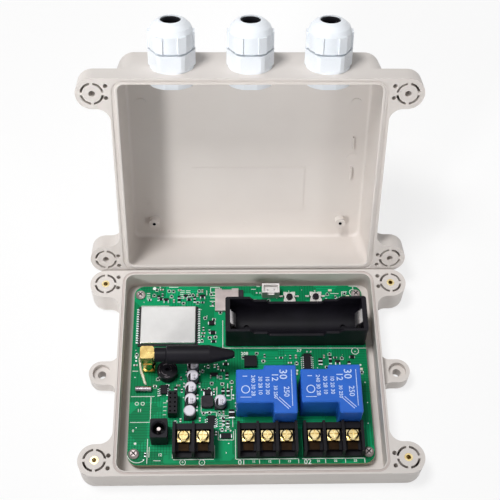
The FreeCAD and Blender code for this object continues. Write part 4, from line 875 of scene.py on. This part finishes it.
def makeSwitchPlates():
    form = bmesh.new()
    y, hole, half = switches["y"], switches["hole"], switches["width"] / 2
    bottom = boardTop + switches["height"]
    top = bottom + switches["sheet"]
    feet = []
    for x in switches["xs"]:
        rows = []
        for step in range(switches["steps"]):
            angle = 2 * math.pi * step / switches["steps"]
            wave = 0.5 - 0.5 * math.cos(4 * angle)
            cut = switches["sideCut"] * (1 - wave) if wave < 0.5 else switches["cornerCut"]
            side = max(abs(math.cos(angle)), abs(math.sin(angle)))
            outer = (half + switches["overlap"]) / side * (1 - cut)
            rows.append(ringRow(form, x, y, hole, outer, bottom, top, angle))
        joinRows(form, rows, closed=True)
        across, along = half + switches["foot"]["Length"] / 2, switches["footSpacing"] / 2
        feet += [(x + i * across, y + j * along, boardTop, 0) for i in (-1, 1) for j in (-1, 1)]
    steel = ("switch_metal", "tray", "switch_metal")
    finishForm("switch_plates", form, *steel)
    repeatPiece("switch_feet", blockTree, feet, switches["foot"], *steel)


makeSwitchPlates()

# Label on the radio module, card beside its socket, floor of the battery lead's header
print("soft blocks")
softBlocks = [
    # Name, finish, middle, length and width, bottom and top above the board, edge and its steps
    ("module_label", "label_paper", (-46, 29.2), (30.4, 22.4), (3.3, 3.36), 0.02, 1),
    ("card_strip", "ferrite", (-4.3, 46.4), (2.8, 12.4), (0, 1.1), 0.15, 2),
    ("lead_header_base", "white_plastic", (12.8, 50.6), (8.1, 4.1), (0, 4.3), 0.15, 2),
]


def makeSoftBlocks():
    for name, finish, middle, sizes, levels, edge, steps in softBlocks:
        form = bmesh.new()
        addBlock(form, *middle, *sizes, *[boardTop + level for level in levels])
        bmesh.ops.bevel(form, geom=form.edges[:], offset=edge * mm, segments=steps, affect="EDGES")
        finishForm(name, form, finish, "tray")


makeSoftBlocks()

# Pale bead from the antenna's foot to the crystal
print("paleBead")
paleBead = {
    # Place and radius along the bead
    "path": [
        (-61.6, 9.6, 1, 0.5), (-61.2, 7.2, 0.9, 0.75), (-60.9, 4.4, 0.8, 0.6),
        (-60.4, 1.6, 0.8, 0.7), (-59.4, -1, 0.9, 0.9), (-58.6, -3.4, 0.8, 0.7),
        (-58, -5.4, 0.7, 0.9), (-57.4, -6.6, 0.5, 0.5),
    ],
    "sides": 10, "steps": 5, "eased": 0.6, "rise": 0.5,
}


def makePaleBead():
    # A bead pulled along a smooth path, flat side down on the board
    form = bmesh.new()
    knots = [Vector(knot) for knot in paleBead["path"]]
    track = []
    for first, second in zip(knots, knots[1:]):
        for step in range(paleBead["steps"]):
            share = step / paleBead["steps"]
            ease = share * share * (3 - 2 * share)
            track.append(first.lerp(second, share + (ease - share) * paleBead["eased"]))
    track.append(knots[-1])
    angles = [2 * math.pi * side / paleBead["sides"] for side in range(paleBead["sides"])]
    joinRows(form, [
        [
            form.verts.new(Vector((
                x + radius * math.cos(angle), y,
                boardTop + max(0, z * paleBead["rise"] + radius * math.sin(angle)))) * mm)
            for angle in angles
        ]
        for x, y, z, radius in track
    ], closed=False)
    finishForm("pale_bead", form, "pale_bead", "tray", smooth=True)


makePaleBead()

# Painted shade in the cross slots of the board screws: thin dark crosses at the screw heads
print("screw slots")
slotShade = {"reach": 0.91, "width": 0.6, "bottom": 2.08, "top": 2.13}


def makeScrewSlotShade():
    form = bmesh.new()
    reach = slotShade["reach"]
    for x, y in screwPlaces:
        for side in (-reach, reach):
            addStroke(form, x - reach, y - side, x + reach, y + side, slotShade["width"],
                      boardTop + slotShade["bottom"], boardTop + slotShade["top"])
    finishForm("screw_slot_shade", form, "black_rubber", "tray")


makeScrewSlotShade()

# What rides the cover is laid out for the closed box, then opened with it
swing = next(joint for joint in frame["joints"] if joint["name"] == "cover_swing")
hinge = Matrix.Translation(swing["pos_m"])
openAngle = -math.radians(swing["range_deg"][1])
coverPose = hinge @ Matrix.Rotation(openAngle, 4, "X") @ hinge.inverted()

# Painted glints round the sounder, painted shade as dark discs in the cell holder's holes and
# in the cover's posts, and marks of the mould's ejector pins in the cover
print("round marks")
roundMarksAndPaintedLight = {
    # Levels above the board, or in the closed cover; rings as x, y, radius, width, start and sweep
    # Painted glints: pale steel arcs on the sounder's top stand for its highlights
    "sounder_glints": {
        "finish": "dull_steel", "levels": (5.5, 5.55), "points": 12,
        "rings": [
            (-45.6, 0.2, 4.6, 0.28, 20, 80), (-45.6, 0.2, 4.6, 0.28, 150, 60),
            (-45.6, 0.2, 3.4, 0.28, 60, 70), (-45.6, 0.2, 3.4, 0.28, 190, 80),
            (-45.6, 0.2, 2.3, 0.28, 320, 90), (-45.6, 0.2, 4.6, 0.28, 250, 40),
        ],
    },
    # Painted shade: dark discs on the board inside the cell holder's holes
    "holder_hole_shade": {
        "finish": "black_plastic", "levels": (0, 0.3), "points": 20,
        "rings": [(-1.5, 27.6, 0.8, 1.58), (53.5, 27.6, 0.8, 1.58)],
    },
    # Painted shade: dark discs inside the holes of the cover's posts
    "post_hole_shade": {
        "finish": "black_plastic", "body": "cover", "levels": (44.66, 44.7), "points": 20,
        "rings": [(-55.5, 46.5, 0.475, 0.93), (55.5, 46.5, 0.475, 0.93)],
    },
    "ejector_marks": {
        "finish": "shell_plastic", "body": "cover", "slot": "shell_plastic",
        "levels": (49.08, 49.2), "points": 24,
        "rings": [(-2, 49.2, 1.7, 0.35), (-59.5, 33.2, 1.7, 0.35)],
    },
}


def makeRoundMarksAndPaintedLight():
    for name, look in roundMarksAndPaintedLight.items():
        body = look.get("body", "tray")
        base, pose = (boardTop, None) if body == "tray" else (0, coverPose)
        levels = [base + level for level in look["levels"]]
        form = bmesh.new()
        for x, y, radius, width, *arc in look["rings"]:
            addRing(form, x, y, radius, width, *levels, look["points"], *arc)
        finishForm(name, form, look["finish"], body, look.get("slot"), pose)


makeRoundMarksAndPaintedLight()

# Threads on the glands: a turned helix on each threaded end
print("gland threads")
glands = {"spacing": 41, "height": 33.2, "steps": (-1, 0, 1)}
threads = {
    "points": 28, "wirePoints": 6,
    # Name, start along the gland's axis, sizes
    "ends": [
        ("stub_threads", -53.1, {"Radius": 9.9, "Wire": 0.3, "Pitch": 0.8, "Turns": 1}),
        ("neck_threads", -71.8, {"Radius": 9.2, "Wire": 0.3, "Pitch": 0.8, "Turns": 0.8}),
    ],
}


def helixShape(tree, start):
    sizes = start.outputs
    spiral = addNode(tree, "GeometryNodeCurveSpiral", {
        "Resolution": threads["points"], "Rotations": sizes["Turns"],
        "Start Radius": sizes["Radius"], "End Radius": sizes["Radius"],
        "Height": reckon(tree, "MULTIPLY", sizes["Pitch"], sizes["Turns"]),
    })
    wire = addNode(tree, "GeometryNodeCurvePrimitiveCircle", {
        "Resolution": threads["wirePoints"], "Radius": sizes["Wire"],
    })
    return addNode(tree, "GeometryNodeCurveToMesh", {
        "Curve": spiral.outputs["Curve"], "Profile Curve": wire.outputs["Curve"], "Fill Caps": True,
    }).outputs["Mesh"]


def makeThreads():
    # Helices stand on the gland's axis, then go with the opened cover
    helixTree = repeatTree("helix_thread", helixShape, ("Radius", "Wire", "Pitch", "Turns"))
    places = [(step * glands["spacing"], 0, 0, 0) for step in glands["steps"]]
    for name, startY, sizes in threads["ends"]:
        pose = coverPose @ turned(0, startY, glands["height"], -90, "X")
        repeatPiece(name, helixTree, places, sizes, "gland_nylon", "cover", "gland_nylon", pose)


makeThreads()

# Rubber collars pressed up in the mouths of the cap nuts
print("seal collars")
collars = {
    "start": -81.65, "points": 32,
    # Radius and height above the seal's face
    "outline": [
        (4.15, 0), (5.3, 0), (5.3, 4.3), (5.15, 4.6), (4.85, 4.7), (4.5, 4.5), (4.25, 4), (4.15, 3),
    ],
}


def makeSealCollars():
    form = bmesh.new()
    for step in glands["steps"]:
        middle = (step * glands["spacing"], collars["start"], glands["height"])
        place = coverPose @ turned(*middle, 90, "X")
        rows = []
        for point in range(collars["points"]):
            angle = 2 * math.pi * point / collars["points"]
            rows.append([
                form.verts.new(place @ around(0, 0, radius, angle, height))
                for radius, height in collars["outline"]
            ])
        joinRows(form, rows, closed=True)
    finishForm("seal_collars", form, "black_rubber", "cover", "black_rubber", smooth=True)


makeSealCollars()

# Lip round the inside of the cover's rim, a little proud of it
print("cover lip")
coverLip = {
    "halfWidth": 70.5, "halfDepth": 58.5, "corner": 5, "steps": 8, "frontCut": 0.6,
    # Distance in from the wall, height in the closed cover
    "outline": [
        (-0.2, 17.3), (0.25, 17.25), (0.3, 16.95), (0.45, 16.82), (1.3, 16.82), (1.62, 17),
        (1.7, 17.3), (1.7, 18.2), (1.4, 18.7), (0.4, 18.9), (-0.2, 18.9),
    ],
}


def makeCoverLip():
    form = bmesh.new()
    corner = coverLip["corner"]
    rows = []
    for quarter, (i, j) in enumerate(((1, 1), (-1, 1), (-1, -1), (1, -1))):
        middle = Vector((
            i * (coverLip["halfWidth"] - corner), j * (coverLip["halfDepth"] - corner)))
        for step in range(coverLip["steps"] + 1):
            angle = math.pi / 2 * (quarter + step / coverLip["steps"])
            outward = Vector((math.cos(angle), math.sin(angle)))
            share = 1 - coverLip["frontCut"] * max(0, -outward.y) ** 2
            rows.append([])
            for inset, height in coverLip["outline"]:
                spot = middle + outward * (corner - inset * share)
                rows[-1].append(form.verts.new(Vector((*spot, height)) * mm))
    joinRows(form, rows, closed=True)
    finishForm("cover_lip", form, "shell_plastic", "cover", "shell_plastic", coverPose)


makeCoverLip()

# Floor, backdrop and light, in metres
print("stage")
stage = {
    "size": 6, "drop": 0.0002, "floorColour": tone(250, 250, 250), "floorRoughness": 0.9,
    # How much of the shadow shows, and where that fades out
    "shadowShare": 0.22, "fade": (0.3, 0.9),
    "world": 0.24, "backdrop": 1, "spotBlend": 0.55,
    # Place, aimed at, width, power
    "lamp": ((-0.5, 0.1, 1.6), (0, 0.02, 0.02), 0.45, 18.4),
    "spots": [
        # At the front, on the open cover alone; last the cone in degrees
        ((-0.45, -0.42, 0.38), (-0.01, 0.12, 0.079), 0.27, 32, 14),
        ((0.45, -0.42, 0.38), (-0.01, 0.12, 0.079), 0.27, 8.6, 14),
    ],
}
white = tone(255, 255, 255)


def seenRays(tree):
    # 1 for what the camera, a reflection or clear material sees
    path = addNode(tree, "ShaderNodeLightPath")
    seen = path.outputs["Is Camera Ray"]
    for word in ("Is Glossy Ray", "Is Transmission Ray"):
        seen = reckon(tree, "ADD", seen, path.outputs[word], clamp=True)
    return seen


def mixShaders(tree, share, first, second, output):
    mix = addNode(tree, "ShaderNodeMixShader", {"Fac": share, 1: first, 2: second})
    tree.links.new(mix.outputs["Shader"], tree.nodes[output].inputs["Surface"])


def makeFloor():
    material, tree, shader = startFinish("floor_paper")
    fill(tree, shader, {"Base Color": stage["floorColour"], "Roughness": stage["floorRoughness"]})
    glow = addNode(tree, "ShaderNodeEmission", {"Color": white})
    reach = addNode(tree, "ShaderNodeVectorMath", {0: objectPlace(tree)}, operation="LENGTH")
    share = between(tree, reach.outputs["Value"], 1 - stage["shadowShare"], 1, *stage["fade"])
    share = reckon(tree, "MULTIPLY", seenRays(tree), share)
    mixShaders(tree, share, shader.outputs["BSDF"], glow.outputs["Emission"], "Material Output")
    form = bmesh.new()
    bmesh.ops.create_grid(form, x_segments=2, y_segments=2, size=stage["size"] / 2,
                          matrix=Matrix.Translation((0, 0, -stage["drop"])))
    mesh = bpy.data.meshes.new("floor")
    form.to_mesh(mesh)
    form.free()
    item = newObject("floor", mesh)
    mesh.materials.append(material)


def makeWorld():
    world = bpy.data.worlds.new("studio")
    bpy.context.scene.world = world
    world.use_nodes = True
    tree = world.node_tree
    soft = fill(tree, tree.nodes["Background"], {"Color": white, "Strength": stage["world"]})
    seen = addNode(tree, "ShaderNodeBackground", {"Color": white, "Strength": stage["backdrop"]})
    sides = (soft.outputs["Background"], seen.outputs["Background"])
    mixShaders(tree, seenRays(tree), *sides, "World Output")


def addLamp(name, kind, place, target, power, **settings):
    data = bpy.data.lights.new(name, kind)
    data.energy = power
    for word, value in settings.items():
        setattr(data, word, value)
    item = newObject(name, data)
    item.location = place
    item.rotation_euler = (Vector(target) - Vector(place)).to_track_quat("-Z", "Y").to_euler()


def makeLamps():
    place, target, width, power = stage["lamp"]
    addLamp("lamp_1", "AREA", place, target, power, size=width)
    for index, (place, target, width, power, cone) in enumerate(stage["spots"], start=1):
        addLamp(f"spot_{index}", "SPOT", place, target, power, shadow_soft_size=width / 2,
                spot_size=math.radians(cone), spot_blend=stage["spotBlend"])


makeFloor()
makeWorld()
makeLamps()
bpy.context.scene.view_settings.view_transform = "Standard"

# Camera, set to the photograph's view: lens in millimetres, place in metres, angles in degrees
print("camera")
camera = {
    "lens": 72, "film": 36, "place": (-0.014714, -0.230741, 0.518361),
    "down": 58.606, "turn": 2.979, "roll": 2.301,
}


def addCamera():
    data = bpy.data.cameras.new("photo_camera")
    data.lens = camera["lens"]
    data.sensor_width = camera["film"]
    item = newObject("photo_camera", data)
    down, turn, roll = [math.radians(camera[word]) for word in ("down", "turn", "roll")]
    # It looks along its own -Z: rolled, tilted up from straight down, then turned to the right
    tilt = Matrix.Rotation(math.pi / 2 - down, 4, "X") @ Matrix.Rotation(roll, 4, "Z")
    heading = Matrix.Rotation(-turn, 4, "Z")
    item.matrix_world = Matrix.Translation(camera["place"]) @ heading @ tilt
    bpy.context.scene.camera = item


addCamera()
